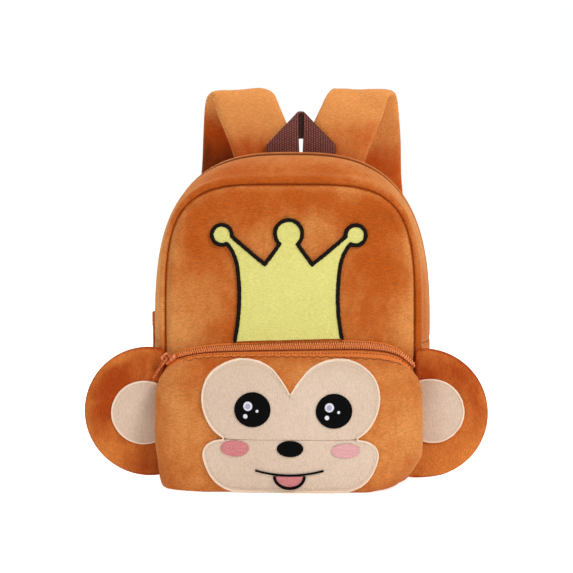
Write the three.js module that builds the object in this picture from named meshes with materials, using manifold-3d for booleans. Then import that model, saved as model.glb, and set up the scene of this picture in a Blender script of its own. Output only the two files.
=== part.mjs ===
// A child's plush animal backpack, standing on its base.
// Millimetres, +Z up. The face on the front pocket looks towards -Y.

import * as THREE from "three";
import { mergeVertices } from "three/addons/utils/BufferGeometryUtils.js";
import Module from "manifold-3d";

const wasm = await Module();
wasm.setup();

// Cloth and clearances
const GAP = 0.3;
const PLUSH = 2.5;
const PATCH = 1;
const THREAD = 0.8;
const TAPE = 1.2;
const WEBBING = 1.6;
const SAME_POINT = 1e-4;

// The bag's outer surface, one row for each seam or line round it from front to back.
// Each line is an arch on straight sides, and a higher squareness makes its shoulders squarer.
const BAG_LINES = [
  { name: "front seam", depth: -9.5, halfWidth: 95.2, top: 229.8, squareness: 4.2 },
  { name: "front roll", depth: 0, halfWidth: 101.4, top: 240.5, squareness: 3.5 },
  { name: "front swell", depth: 12, halfWidth: 105.6, top: 247.5, squareness: 3.1 },
  { name: "front zip lip", depth: 28, halfWidth: 107.5, top: 251, squareness: 2.9 },
  { name: "rear zip lip", depth: 36, halfWidth: 107.5, top: 251.3, squareness: 2.9 },
  { name: "back seam", depth: 50, halfWidth: 104, top: 248.5, squareness: 2.9 },
];
const FRONT_SEAM = BAG_LINES[0];
const FRONT_LIP = BAG_LINES[3];
const BACK_SEAM = BAG_LINES[5];
const JOIN_HEIGHT = 108;
const BASE_CORNER = 26;
const ARCH_STEPS = 24;
const BASE_STEPS = 20;

// Front and back panels
const PANEL_MIDDLE = 115;
const SWELL_REACH = { across: 90, up: 108 };
const FRONT_FACE = FRONT_SEAM.depth - GAP - PLUSH;
const FRONT_SWELL = 6;
const BACK_PADDING = 4;
const BACK_FACE = BACK_SEAM.depth + GAP + BACK_PADDING;
const FRONT_RINGS = [0, 0.35, 0.68, 0.9, 1];
const BACK_RINGS = [0, 1];

// Main zip, sunk between the two lips of the gusset
const MAIN_TAPE_DEPTH = 3.6;
const MAIN_COIL_DEPTH = 1.2;
const MAIN_TAPE_REACH = { front: 26, rear: 38.5 };
const MAIN_COIL_REACH = { front: 30.4, rear: 33.6 };
const MAIN_SLIDER = { thick: 3, wide: 7, long: 11, height: 122 };
const MAIN_TAB = { thick: 1.4, wide: 6, long: 24 };

// Front pocket
const POCKET = {
  halfWidth: 101.5,
  middle: 48,
  rise: 53,
  drop: 58,
  topSquareness: 5,
  bottomSquareness: 3.6,
  front: -52,
  zipEdge: -27,
  undercut: 25,
  sideFullness: 2.6,
  topFullness: 2,
};
const POCKET_SEAM = FRONT_FACE - GAP;
const ZIP_FADE = { from: 52, to: 88 };
const POCKET_SIDES = 48;
const POCKET_RINGS = 6;

// Pocket zip
const ZIP_ENDS = 66;
const ZIP_RISE = 9.5;
const ZIP_SIDE_LIMIT = 94;
const ZIP_STEPS = 30;
const COIL = { halfWidth: 2.1, crownHalf: 1.15, height: 1.6, shoulder: 0.65 };
const COIL_CLEARANCE = 2;
const SLIDER = { at: 0.105, front: 7, rear: 3.5, thick: 2.6 };
const SLIDER_PLAN = { shoulder: 4.2, halfWidth: 4, waist: 3, tail: 2.4 };
const BRIDGE = { halfLength: 3.4, halfWidth: 1.1, opening: 2.2, rise: 4.2, thick: 1.2 };
const PULL = { long: 19, halfWidth: 2.8, waist: 2, head: 6.2, thick: 1.4, lean: 14 };
const PULL_WINDOW = { long: 4.2, halfWidth: 1.5 };
const METAL_CURVE_STEPS = 3;

// Ears, sewn into the front seam beside the pocket.
// Both sit a little to the left: the sides are the distances that the ears and their patches are moved.
const EAR = { radius: 50, centre: 104.4, height: 55.6, middle: 126, edge: 1.25, swell: 4.75 };
const EAR_FULLNESS = { across: 2.2, forward: 0.8 };
const EAR_PATCH = { radius: 24.5, centre: 109.7, height: 55.3, steps: 15 };
const EAR_SIDE = -3.3;
const EAR_PATCH_SIDE = -1.7;
const EAR_ROOT = FRONT_SEAM.halfWidth + GAP;
const EAR_PLANE = FRONT_FACE + PLUSH / 2;
const EAR_RINGS = [0, 0.35, 0.65, 0.88, 1];
const EAR_STEPS = 20;
const ROOT_STEPS = 5;

// Crown patch on the front panel
const CROWN_BORDER = 3;
const CROWN_BASE = 112;
const CROWN_BALLS = [
  { x: -50.5, z: 191.8, radius: 6.5 },
  { x: 0, z: 192.8, radius: 9.2 },
  { x: 50.5, z: 191.8, radius: 6.5 },
];
const CROWN_HALF = {
  middleNeck: [4.6, 186.5],
  innerBend: [11.6, 176.2],
  valley: [17.7, 168.3],
  outerBend: [30.5, 178.2],
  sideNeck: [45.8, 192],
  outerNeck: [48.2, 188],
  shoulderBend: [41, 182],
  shoulder: [38, 170],
  waist: [33.5, 141],
  base: [39.5, CROWN_BASE],
};
const CROWN_CURVE_STEPS = 4;
const CROWN_BALL_STEPS = 8;
const PANEL_PRISM = { near: -60, far: 60 };

// Face patches on the pocket, each as half an outline from its bottom middle to its top middle.
// The sides are how far the face and its features sit to the right of the pocket's middle.
const FACE_SIDE = 2.1;
const EYE_SIDE = 4.3;
const MOUTH_SIDE = 1.5;
const MASK_HALF = [
  { x: 0, z: 42.5 },
  { x: 37, z: 42.5 },
  { x: 50, z: 43.4 },
  { x: 62, z: 56 },
  { x: 66, z: 74 },
  { x: 58.6, z: 91 },
  { x: 45, z: 99.2 },
  { x: 31, z: 100 },
  { x: 15, z: 93.2 },
  { x: 5.6, z: 82.8 },
  { x: 0, z: 74.4 },
];
const MUZZLE_HALF = [
  { x: 0, z: 2 },
  { x: 37, z: 2.2 },
  { x: 50, z: 5.6 },
  { x: 60, z: 14.5 },
  { x: 65.3, z: 29.5 },
  { x: 61.5, z: 37.2 },
  { x: 52, z: 41.2 },
  { x: 37, z: 41.5 },
  { x: 0, z: 41.5 },
];
const STEPS_PER_POINT = 2;
const EYE = { x: 30.3, z: 63.3, radius: 13 };
const NOSE = { x: FACE_SIDE, z: 35.4, halfWidth: 9.9, halfHeight: 6.2 };
const CHEEK = { x: 41.2, z: 34.5, halfWidth: 10.6, halfHeight: 5.7 };
const MOUTH = { halfWidth: 25.5, ends: 18.9, middle: 15.3, line: 1.5 };
const TONGUE = { halfWidth: 10.4, drop: 8.6, border: 1.6 };
const MOUTH_STEPS = 10;
const FACE_PRISM = { near: -90, far: POCKET.zipEdge };
const FACE_CURVE_STEPS = 10;

// Top handle, one webbing folded to a point
const HANDLE = { side: 6, foot: 236, corner: 257.2, peak: 283.7, slit: 0.8, backEdge: 262 };
const HANDLE_FRONT = BACK_FACE + GAP;

// Shoulder straps, one row for each bend.
// The lean tips the strap's width outwards and down, in degrees.
// The swing is the share of the left strap's extra swing to the side.
// Both straps sit a little to the right of the bag's middle, the right one more so.
const STRAP_SIDES = { left: 4, right: 6 };
const STRAP_HALF_WIDTH = 24;
const STRAP_HALF_THICK = 4.5;
const LEFT_SWING = 7.5;
const STRAP_BENDS = [
  { x: 24.8, y: 63.2, z: 228, lean: 14, swing: 0 },
  { x: 26, y: 63.2, z: 246, lean: 20, swing: 0 },
  { x: 33, y: 64, z: 268, lean: 24, swing: 0 },
  { x: 40.7, y: 69.5, z: 286, lean: 19, swing: 0 },
  { x: 47.3, y: 80.5, z: 296.2, lean: 7, swing: 0 },
  { x: 52, y: 91.5, z: 287, lean: 3, swing: 0 },
  { x: 54.5, y: 97, z: 262, lean: 1, swing: 0 },
  { x: 57, y: 102, z: 220, lean: -3, swing: 0.1 },
  { x: 66, y: 103, z: 175, lean: -10, swing: 0.4 },
  { x: 80, y: 97, z: 140, lean: -20, swing: 0.8 },
];
const STRAP_STEPS = 22;
const PADDED_PROFILE = [
  { spot: -1, full: 0.3 },
  { spot: -0.86, full: 0.82 },
  { spot: -0.45, full: 1 },
  { spot: 0.45, full: 1 },
  { spot: 0.86, full: 0.82 },
  { spot: 1, full: 0.3 },
];
const FLAT_PROFILE = [
  { spot: -1, full: 1 },
  { spot: 1, full: 1 },
];
const ADJUSTER = { halfWidth: 16, halfLength: 7, halfThick: 2.6 };
const LOWER_WEBBING_HALF = 12.5;
const WEBBING_BENDS = [
  { x: 94.5, y: 82, z: 96, lean: -6, swing: 0.9 },
  { x: 95, y: 68, z: 60, lean: 10, swing: 0.4 },
  { x: 89, y: 59.5, z: 34, lean: 24, swing: 0 },
  { x: 83.5, y: BACK_FACE + 2 * GAP + WEBBING / 2, z: 20, lean: 30, swing: 0 },
];
const WEBBING_STEPS = 14;

// Colours and roughness
const ORANGE_PLUSH = 0xc4763a;
const EAR_PLUSH = 0xb8581c;
const CREAM_PLUSH = 0xe0c8b0;
const YELLOW_PLUSH = 0xe1db84;
const BLACK_THREAD = 0x14110f;
const PINK_THREAD = 0xdf8f8c;
const BROWN_WEBBING = 0x6c3329;
const ORANGE_ZIP = 0xae4e18;
const NAP_ROUGHNESS = 0.95;
const THREAD_ROUGHNESS = 0.6;
const HARD_ROUGHNESS = 0.5;

const bag = new THREE.Group();

function radians(degrees) {
  return THREE.MathUtils.degToRad(degrees);
}

function addPiece(name, geometry, colour, roughness = NAP_ROUGHNESS) {
  const material = new THREE.MeshStandardMaterial({ color: colour, roughness, metalness: 0 });
  const mesh = new THREE.Mesh(geometry, material);
  mesh.name = name;
  bag.add(mesh);
  return mesh;
}

// Closed meshes

function enclosedVolume(position, index) {
  const corners = [new THREE.Vector3(), new THREE.Vector3(), new THREE.Vector3()];
  let volume = 0;
  for (let i = 0; i < index.length; i += 3) {
    corners.forEach((corner, side) => corner.fromBufferAttribute(position, index[i + side]));
    volume += corners[0].dot(corners[1].cross(corners[2])) / 6;
  }
  return volume;
}

// A closed mesh with equal points joined, empty triangles dropped and its faces turned outwards.
function closedMesh(points, triangles) {
  const loose = new THREE.BufferGeometry();
  const coordinates = points.flatMap((point) => point.toArray());
  loose.setAttribute("position", new THREE.Float32BufferAttribute(coordinates, 3));
  loose.setIndex(triangles);
  const joined = mergeVertices(loose, SAME_POINT);
  const index = [];
  for (let i = 0; i < joined.index.count; i += 3) {
    const corners = [0, 1, 2].map((side) => joined.index.getX(i + side));
    if (new Set(corners).size === 3) {
      index.push(...corners);
    }
  }
  const inward = enclosedVolume(joined.attributes.position, index) < 0;
  joined.setIndex(inward ? index.reverse() : index);
  return joined;
}

// A wall with one row of outer points and one row of inner points at each step along it.
// Both faces are split along the same diagonals, so that walls laid on each other keep their gap.
function wall(outerRows, innerRows, goesRound) {
  const rings = outerRows.map((row, step) => [...row, ...innerRows[step].toReversed()]);
  const size = rings[0].length;
  const triangles = [];
  const spans = goesRound ? rings.length : rings.length - 1;
  for (let span = 0; span < spans; span += 1) {
    const here = span * size;
    const ahead = ((span + 1) % rings.length) * size;
    for (let i = 0; i < size; i += 1) {
      const next = (i + 1) % size;
      if (i < size / 2) {
        triangles.push(here + i, ahead + i, ahead + next, here + i, ahead + next, here + next);
      } else {
        triangles.push(here + i, ahead + i, here + next, ahead + i, ahead + next, here + next);
      }
    }
  }
  if (!goesRound) {
    const end = (rings.length - 1) * size;
    for (let i = 0; i < size / 2 - 1; i += 1) {
      const across = size - 1 - i;
      triangles.push(i, i + 1, across - 1, i, across - 1, across);
      triangles.push(end + i, end + across - 1, end + i + 1, end + i, end + across, end + across - 1);
    }
  }
  return closedMesh(rings.flat(), triangles);
}

// Joining and cutting

function toSolid(geometry) {
  const bare = geometry.clone();
  bare.deleteAttribute("normal");
  bare.deleteAttribute("uv");
  const joined = mergeVertices(bare, SAME_POINT);
  const vertProperties = new Float32Array(joined.attributes.position.array);
  const triVerts = new Uint32Array(joined.index.array);
  return new wasm.Manifold(new wasm.Mesh({ numProp: 3, vertProperties, triVerts }));
}

function toGeometry(solid) {
  const mesh = solid.getMesh();
  const geometry = new THREE.BufferGeometry();
  geometry.setAttribute("position", new THREE.Float32BufferAttribute(mesh.vertProperties, 3));
  geometry.setIndex(new THREE.Uint32BufferAttribute(mesh.triVerts, 1));
  return geometry;
}

// A shape drawn in X and Z, as a prism from one depth to another.
function prism(shape, near, far, curveSegments = 1) {
  const options = { depth: far - near, bevelEnabled: false, curveSegments };
  const geometry = new THREE.ExtrudeGeometry(shape, options);
  geometry.rotateX(Math.PI / 2);
  geometry.translate(0, far, 0);
  return toSolid(geometry);
}

function panelPrism(shape, curveSegments) {
  return prism(shape, PANEL_PRISM.near, PANEL_PRISM.far, curveSegments);
}

function facePrism(shape) {
  return prism(shape, FACE_PRISM.near, FACE_PRISM.far, FACE_CURVE_STEPS);
}

function disc(x, z, halfWidth, halfHeight) {
  const shape = new THREE.Shape();
  shape.absellipse(x, z, halfWidth, halfHeight, 0, 2 * Math.PI);
  return shape;
}

function mirrored(geometry) {
  const copy = geometry.clone();
  copy.scale(-1, 1, 1);
  copy.setIndex([...copy.index.array].reverse());
  return copy;
}

// Lines round the bag

function archLine(line, inset) {
  const power = 2 / line.squareness;
  const points = [];
  for (let step = 0; step <= 180; step += 1) {
    const across = Math.cos(radians(step));
    const up = Math.sin(radians(step));
    const x = Math.sign(across) * Math.abs(across) ** power * (line.halfWidth - inset);
    const z = JOIN_HEIGHT + Math.abs(up) ** power * (line.top - inset - JOIN_HEIGHT);
    points.push(new THREE.Vector2(x, z));
  }
  const curve = new THREE.SplineCurve(points);
  return curve.getSpacedPoints(ARCH_STEPS);
}

function baseLine(line, inset) {
  const side = line.halfWidth - inset;
  const corner = BASE_CORNER - inset;
  const end = JOIN_HEIGHT - GAP;
  const path = new THREE.Path();
  path.moveTo(-side, end);
  path.lineTo(-side, BASE_CORNER);
  path.absarc(-side + corner, BASE_CORNER, corner, Math.PI, 1.5 * Math.PI);
  path.lineTo(side - corner, inset);
  path.absarc(side - corner, BASE_CORNER, corner, 1.5 * Math.PI, 2 * Math.PI);
  path.lineTo(side, end);
  return path.getSpacedPoints(BASE_STEPS);
}

function closedLine(line) {
  return [...archLine(line, 0), ...baseLine(line, 0).slice(1, -1)];
}

// One row of points from front to back at each step along a line.
function rowsAlong(lineOf, stations) {
  const lines = stations.map((station) => lineOf(station.line, station.inset));
  return lines[0].map((_, step) =>
    stations.map((station, row) => {
      const point = lines[row][step];
      return new THREE.Vector3(point.x, station.depth, point.y);
    }),
  );
}

function gusset(lineOf, lines) {
  const stationsAt = (inset) => lines.map((line) => ({ line, inset, depth: line.depth }));
  return wall(rowsAlong(lineOf, stationsAt(0)), rowsAlong(lineOf, stationsAt(PLUSH)), false);
}

// Front and back panels

function swellAt(x, z) {
  const across = Math.max(0, 1 - (x / SWELL_REACH.across) ** 2);
  const up = Math.max(0, 1 - ((z - PANEL_MIDDLE) / SWELL_REACH.up) ** 2);
  return across * up;
}

function panelRows(line, rings, depthAt) {
  return closedLine(line).map((edge) =>
    rings.map((ring) => {
      const x = edge.x * ring;
      const z = PANEL_MIDDLE + (edge.y - PANEL_MIDDLE) * ring;
      return new THREE.Vector3(x, depthAt(x, z), z);
    }),
  );
}

function frontSurface(x, z) {
  return FRONT_FACE - FRONT_SWELL * swellAt(x, z);
}

// A layer of the front panel, from one height above its outer face to another.
function frontLayer(low, high) {
  const outer = panelRows(FRONT_SEAM, FRONT_RINGS, (x, z) => frontSurface(x, z) - high);
  const inner = panelRows(FRONT_SEAM, FRONT_RINGS, (x, z) => frontSurface(x, z) - low);
  return wall(outer, inner, true);
}

function backPanel() {
  const outer = panelRows(BACK_SEAM, BACK_RINGS, () => BACK_FACE);
  const inner = panelRows(BACK_SEAM, BACK_RINGS, () => BACK_FACE - BACK_PADDING);
  return wall(outer, inner, true);
}

// Main zip

function mainZip() {
  const station = (depth, inset) => ({ line: FRONT_LIP, depth, inset });
  const { front, rear } = MAIN_TAPE_REACH;
  const coil = MAIN_COIL_REACH;
  const outer = [
    station(front, MAIN_TAPE_DEPTH),
    station(coil.front, MAIN_TAPE_DEPTH),
    station(coil.front, MAIN_COIL_DEPTH),
    station(coil.rear, MAIN_COIL_DEPTH),
    station(coil.rear, MAIN_TAPE_DEPTH),
    station(rear, MAIN_TAPE_DEPTH),
  ];
  const under = MAIN_TAPE_DEPTH + TAPE;
  const underDepths = [front, coil.front, coil.front + GAP, coil.rear - GAP, coil.rear, rear];
  const inner = underDepths.map((depth) => station(depth, under));
  return wall(rowsAlong(archLine, outer), rowsAlong(archLine, inner), false);
}

function mainZipSlider() {
  const { thick, wide, long, height } = MAIN_SLIDER;
  const middle = (MAIN_COIL_REACH.front + MAIN_COIL_REACH.rear) / 2;
  const seat = -(FRONT_LIP.halfWidth - MAIN_COIL_DEPTH + GAP);
  const body = new THREE.BoxGeometry(thick, wide, long).translate(seat - thick / 2, middle, height);
  const tabSeat = -(FRONT_LIP.halfWidth + GAP);
  const tab = new THREE.BoxGeometry(MAIN_TAB.thick, MAIN_TAB.wide, MAIN_TAB.long);
  tab.translate(tabSeat - MAIN_TAB.thick / 2, middle, height - MAIN_TAB.long / 2);
  return toGeometry(toSolid(body).add(toSolid(tab)));
}

// Front pocket, a cushion with its widest line part way out

function pocketLine() {
  const points = [];
  for (let step = 0; step < 360; step += 1) {
    const angle = radians(step - 90);
    const up = Math.sin(angle);
    const across = Math.cos(angle);
    const power = 2 / (up > 0 ? POCKET.topSquareness : POCKET.bottomSquareness);
    const reach = up > 0 ? POCKET.rise : POCKET.drop;
    const x = Math.sign(across) * Math.abs(across) ** power * POCKET.halfWidth;
    const z = POCKET.middle + Math.sign(up) * Math.abs(up) ** power * reach;
    points.push(new THREE.Vector3(x, 0, z));
  }
  const curve = new THREE.CatmullRomCurve3(points, true);
  curve.arcLengthDivisions = 720;
  return curve.getSpacedPoints(POCKET_SIDES).slice(0, -1);
}

// How much of the pocket's edge belongs to its zip, from 0 at the side seams to 1 along the top.
function zipShare(z) {
  return THREE.MathUtils.smoothstep(z, ZIP_FADE.from, ZIP_FADE.to);
}

// One row of points from the pocket's edge to its middle, on a surface lifted by an offset.
function pocketRow(edge, offset) {
  const share = zipShare(edge.z);
  const reach = edge.z > POCKET.middle ? POCKET.rise : POCKET.drop;
  const edgeX = (edge.x * (POCKET.halfWidth + offset)) / POCKET.halfWidth;
  const edgeZ = ((edge.z - POCKET.middle) * (reach + offset)) / reach;
  const start = -radians(POCKET.undercut) * (1 - share);
  const power = 2 / THREE.MathUtils.lerp(POCKET.sideFullness, POCKET.topFullness, share);
  const front = POCKET.front - offset;
  const seam = THREE.MathUtils.lerp(POCKET_SEAM, POCKET.zipEdge, share);
  const below = Math.abs(Math.sin(start)) ** power;
  const widest = (seam + below * front) / (1 + below);
  const row = [];
  for (let ring = 0; ring <= POCKET_RINGS; ring += 1) {
    const angle = THREE.MathUtils.lerp(start, Math.PI / 2, ring / POCKET_RINGS);
    const out = ring === POCKET_RINGS ? 0 : Math.cos(angle) ** power;
    const forward = Math.sign(angle) * Math.abs(Math.sin(angle)) ** power;
    const z = Math.max(POCKET.middle + edgeZ * out, -offset);
    row.push(new THREE.Vector3(edgeX * out, widest - (widest - front) * forward, z));
  }
  return row;
}

function pocketLayer(low, high) {
  const rows = (offset) => pocketLine().map((edge) => pocketRow(edge, offset));
  return wall(rows(high), rows(low), true);
}

// Pocket zip, a sloping band from the pocket's top edge back to the front panel

function zipEdges() {
  const edges = pocketLine().filter((edge) => edge.z > ZIP_ENDS).sort((a, b) => a.x - b.x);
  const along = edges.map((edge) => pocketRow(edge, -PLUSH / 2)[0]);
  const upper = along.map((point) => {
    const level = (point.z - POCKET.middle) / POCKET.rise;
    const across = Math.abs(point.x) / POCKET.halfWidth;
    const steep = POCKET.topSquareness - 1;
    const upward = level ** steep / Math.hypot(level ** steep, across ** steep);
    const x = Math.sign(point.x) * Math.min(Math.abs(point.x), ZIP_SIDE_LIMIT);
    const z = point.z + ZIP_RISE * upward * zipShare(point.z);
    return new THREE.Vector3(x, frontSurface(x, z) - GAP - TAPE / 2, z);
  });
  const lip = along.map((point) => point.clone().setY(point.y + GAP + TAPE / 2));
  return { lower: new THREE.CatmullRomCurve3(lip), upper: new THREE.CatmullRomCurve3(upper) };
}

const ZIP = zipEdges();

function zipFrame(share) {
  const low = ZIP.lower.getPoint(share);
  const high = ZIP.upper.getPoint(share);
  const along = ZIP.lower.getTangent(share).add(ZIP.upper.getTangent(share)).normalize();
  const across = high.clone().sub(low).normalize();
  const out = along.clone().cross(across).normalize();
  return { low, high, middle: low.clone().lerp(high, 0.5), along, across, out };
}

const ZIP_SHARES = Array.from({ length: ZIP_STEPS + 1 }, (_, step) => step / ZIP_STEPS);

function zipTape() {
  const frames = ZIP_SHARES.map(zipFrame);
  const lifted = (point, out, lift) => point.clone().addScaledVector(out, lift);
  const rows = (lift) =>
    frames.map(({ low, high, out }) => [lifted(low, out, lift), lifted(high, out, lift)]);
  return wall(rows(TAPE / 2), rows(-TAPE / 2), false);
}

function zipCoil(from, to) {
  const seat = TAPE / 2 + GAP;
  const profile = [
    { spot: -COIL.halfWidth, lift: COIL.shoulder },
    { spot: -COIL.crownHalf, lift: COIL.height },
    { spot: COIL.crownHalf, lift: COIL.height },
    { spot: COIL.halfWidth, lift: COIL.shoulder },
  ];
  const frames = ZIP_SHARES.filter((share) => share > from && share < to).map(zipFrame);
  const place = ({ middle, across, out }, spot, lift) =>
    middle.clone().addScaledVector(across, spot).addScaledVector(out, seat + lift);
  const outer = frames.map((frame) => profile.map(({ spot, lift }) => place(frame, spot, lift)));
  const inner = frames.map((frame) => profile.map(({ spot }) => place(frame, spot, 0)));
  return wall(outer, inner, false);
}

// Slider and pull, drawn with X towards the zip's end, Y across the tape and Z away from it

function sliderSolid() {
  const { front, rear, thick } = SLIDER;
  const { shoulder, halfWidth, waist, tail } = SLIDER_PLAN;
  const plan = new THREE.Shape();
  plan.moveTo(rear, -tail);
  plan.lineTo(rear, tail);
  plan.quadraticCurveTo(0, waist, -shoulder, halfWidth);
  plan.quadraticCurveTo(-front, halfWidth, -front, 0);
  plan.quadraticCurveTo(-front, -halfWidth, -shoulder, -halfWidth);
  plan.quadraticCurveTo(0, -waist, rear, -tail);
  const options = { depth: thick, bevelEnabled: false, curveSegments: METAL_CURVE_STEPS };
  const body = new THREE.ExtrudeGeometry(plan, options);
  const { halfLength, opening, rise } = BRIDGE;
  const top = thick + rise + BRIDGE.thick;
  const loop = new THREE.Shape();
  loop.moveTo(-halfLength, thick - GAP);
  loop.lineTo(-halfLength, top - BRIDGE.thick);
  loop.quadraticCurveTo(-halfLength, top, -opening, top);
  loop.lineTo(opening, top);
  loop.quadraticCurveTo(halfLength, top, halfLength, top - BRIDGE.thick);
  loop.lineTo(halfLength, thick - GAP);
  loop.lineTo(opening, thick - GAP);
  loop.lineTo(opening, thick + rise);
  loop.lineTo(-opening, thick + rise);
  loop.lineTo(-opening, thick - GAP);
  const bridge = prism(loop, -BRIDGE.halfWidth, BRIDGE.halfWidth, METAL_CURVE_STEPS);
  return toGeometry(toSolid(body).add(bridge));
}

function pullSolid() {
  const { long, halfWidth, waist, head, thick } = PULL;
  const bar = thick / 2;
  const round = long - halfWidth;
  const narrowest = (head + round) / 2;
  const plan = new THREE.Shape();
  plan.moveTo(-bar, -halfWidth);
  plan.lineTo(head, -halfWidth);
  plan.quadraticCurveTo(narrowest, -waist, round, -halfWidth);
  plan.quadraticCurveTo(long, -halfWidth, long, 0);
  plan.quadraticCurveTo(long, halfWidth, round, halfWidth);
  plan.quadraticCurveTo(narrowest, waist, head, halfWidth);
  plan.lineTo(-bar, halfWidth);
  const hole = new THREE.Path();
  hole.moveTo(bar, -PULL_WINDOW.halfWidth);
  hole.lineTo(bar, PULL_WINDOW.halfWidth);
  hole.lineTo(bar + PULL_WINDOW.long, PULL_WINDOW.halfWidth);
  hole.lineTo(bar + PULL_WINDOW.long, -PULL_WINDOW.halfWidth);
  plan.holes.push(hole);
  const options = { depth: thick, bevelEnabled: false, curveSegments: METAL_CURVE_STEPS };
  const tab = new THREE.ExtrudeGeometry(plan, options);
  return tab.translate(0, 0, -bar);
}

// Ears

function earEdge(shift) {
  const centre = EAR.centre + shift;
  const limit = Math.acos((EAR_ROOT - centre) / EAR.radius);
  const points = [];
  for (let step = 0; step <= EAR_STEPS; step += 1) {
    const angle = THREE.MathUtils.lerp(-limit, limit, step / EAR_STEPS);
    const x = centre + EAR.radius * Math.cos(angle);
    points.push(new THREE.Vector2(x, EAR.height + EAR.radius * Math.sin(angle)));
  }
  const top = points.at(-1).y;
  const bottom = points[0].y;
  for (let step = 1; step < ROOT_STEPS; step += 1) {
    points.push(new THREE.Vector2(EAR_ROOT, THREE.MathUtils.lerp(top, bottom, step / ROOT_STEPS)));
  }
  return points;
}

function earRows(shift, side, lift) {
  return earEdge(shift).map((edge) =>
    EAR_RINGS.map((ring) => {
      const fullness = (1 - ring ** EAR_FULLNESS.across) ** EAR_FULLNESS.forward;
      const half = EAR.edge + EAR.swell * fullness;
      const x = THREE.MathUtils.lerp(EAR.middle + shift, edge.x, ring);
      const z = THREE.MathUtils.lerp(EAR.height, edge.y, ring);
      return new THREE.Vector3(x, EAR_PLANE + side * half - lift, z);
    }),
  );
}

function ear(shift) {
  return wall(earRows(shift, -1, 0), earRows(shift, 1, 0), true);
}

function earPatch(shift, patchShift) {
  const layer = toSolid(wall(earRows(shift, -1, GAP + PATCH), earRows(shift, -1, GAP), true));
  const { radius, centre, height, steps } = EAR_PATCH;
  const round = panelPrism(disc(centre + patchShift, height, radius, radius), steps);
  return toGeometry(layer.intersect(round));
}

// Patches

function grown(points, amount) {
  return points.map((point, i) => {
    const before = points[(i + points.length - 1) % points.length];
    const after = points[(i + 1) % points.length];
    const first = point.clone().sub(before).normalize();
    const second = after.clone().sub(point).normalize();
    const outFirst = new THREE.Vector2(first.y, -first.x);
    const outSecond = new THREE.Vector2(second.y, -second.x);
    const middle = outFirst.add(outSecond).normalize();
    return point.clone().addScaledVector(middle, amount / Math.max(0.5, middle.dot(outSecond)));
  });
}

function crownOutline() {
  const half = CROWN_HALF;
  const shape = new THREE.Shape();
  const flip = ([x, z]) => [-x, z];
  shape.moveTo(...flip(half.base));
  shape.lineTo(...half.base);
  shape.quadraticCurveTo(...half.waist, ...half.shoulder);
  shape.quadraticCurveTo(...half.shoulderBend, ...half.outerNeck);
  shape.lineTo(...half.sideNeck);
  shape.quadraticCurveTo(...half.outerBend, ...half.valley);
  shape.quadraticCurveTo(...half.innerBend, ...half.middleNeck);
  shape.lineTo(...flip(half.middleNeck));
  shape.quadraticCurveTo(...flip(half.innerBend), ...flip(half.valley));
  shape.quadraticCurveTo(...flip(half.outerBend), ...flip(half.sideNeck));
  shape.lineTo(...flip(half.outerNeck));
  shape.quadraticCurveTo(...flip(half.shoulderBend), ...flip(half.shoulder));
  shape.quadraticCurveTo(...flip(half.waist), ...flip(half.base));
  return shape.getPoints(CROWN_CURVE_STEPS).slice(0, -1);
}

function crownPrism(growth) {
  const outline = grown(crownOutline(), growth);
  outline.filter((point) => point.y < CROWN_BASE + 1).forEach((point) => point.setY(CROWN_BASE));
  const body = panelPrism(new THREE.Shape(outline), CROWN_CURVE_STEPS);
  const withBall = (solid, { x, z, radius }) => {
    const ball = disc(x, z, radius + growth, radius + growth);
    return solid.add(panelPrism(ball, CROWN_BALL_STEPS));
  };
  return CROWN_BALLS.reduce(withBall, body);
}

function mirroredShape(points, side) {
  const shape = new THREE.Shape();
  const curve = new THREE.SplineCurve(points.map(({ x, z }) => new THREE.Vector2(x, z)));
  const half = curve.getPoints(points.length * STEPS_PER_POINT);
  const otherHalf = half.slice(1, -1).toReversed().map((point) => new THREE.Vector2(-point.x, point.y));
  const middle = new THREE.Vector2(side, 0);
  shape.setFromPoints([...half, ...otherHalf].map((point) => point.clone().add(middle)));
  return shape;
}

function facePatch(shape, low, high) {
  return toGeometry(toSolid(pocketLayer(low, high)).intersect(facePrism(shape)));
}

const FACE_LOW = GAP;
const FACE_HIGH = GAP + PATCH;
const THREAD_LOW = FACE_HIGH + GAP;
const THREAD_HIGH = THREAD_LOW + THREAD;

function embroidery({ x, z, halfWidth, halfHeight }) {
  return facePatch(disc(x, z, halfWidth, halfHeight), THREAD_LOW, THREAD_HIGH);
}

function mouthCurve(lift) {
  const { halfWidth, ends, middle } = MOUTH;
  const curve = new THREE.QuadraticBezierCurve(
    new THREE.Vector2(MOUTH_SIDE - halfWidth, ends + lift),
    new THREE.Vector2(MOUTH_SIDE, 2 * middle - ends + lift),
    new THREE.Vector2(MOUTH_SIDE + halfWidth, ends + lift),
  );
  return curve.getPoints(MOUTH_STEPS);
}

// The half disc of the tongue, grown all round and raised by some headroom.
function tongueShape(growth, headroom) {
  const halfWidth = TONGUE.halfWidth + growth;
  const top = MOUTH.middle - MOUTH.line / 2 - GAP;
  const shape = new THREE.Shape();
  shape.moveTo(MOUTH_SIDE - halfWidth, top + headroom);
  shape.absellipse(MOUTH_SIDE, top, halfWidth, TONGUE.drop + growth, Math.PI, 2 * Math.PI);
  shape.lineTo(MOUTH_SIDE + halfWidth, top + headroom);
  return shape;
}

function mouthSolid() {
  const half = MOUTH.line / 2;
  const line = facePrism(new THREE.Shape([...mouthCurve(-half), ...mouthCurve(half).toReversed()]));
  const rim = facePrism(tongueShape(GAP + TONGUE.border, GAP + half));
  const room = facePrism(tongueShape(GAP, GAP));
  return toSolid(pocketLayer(THREAD_LOW, THREAD_HIGH)).intersect(line.add(rim.subtract(room)));
}

// Top handle

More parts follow.
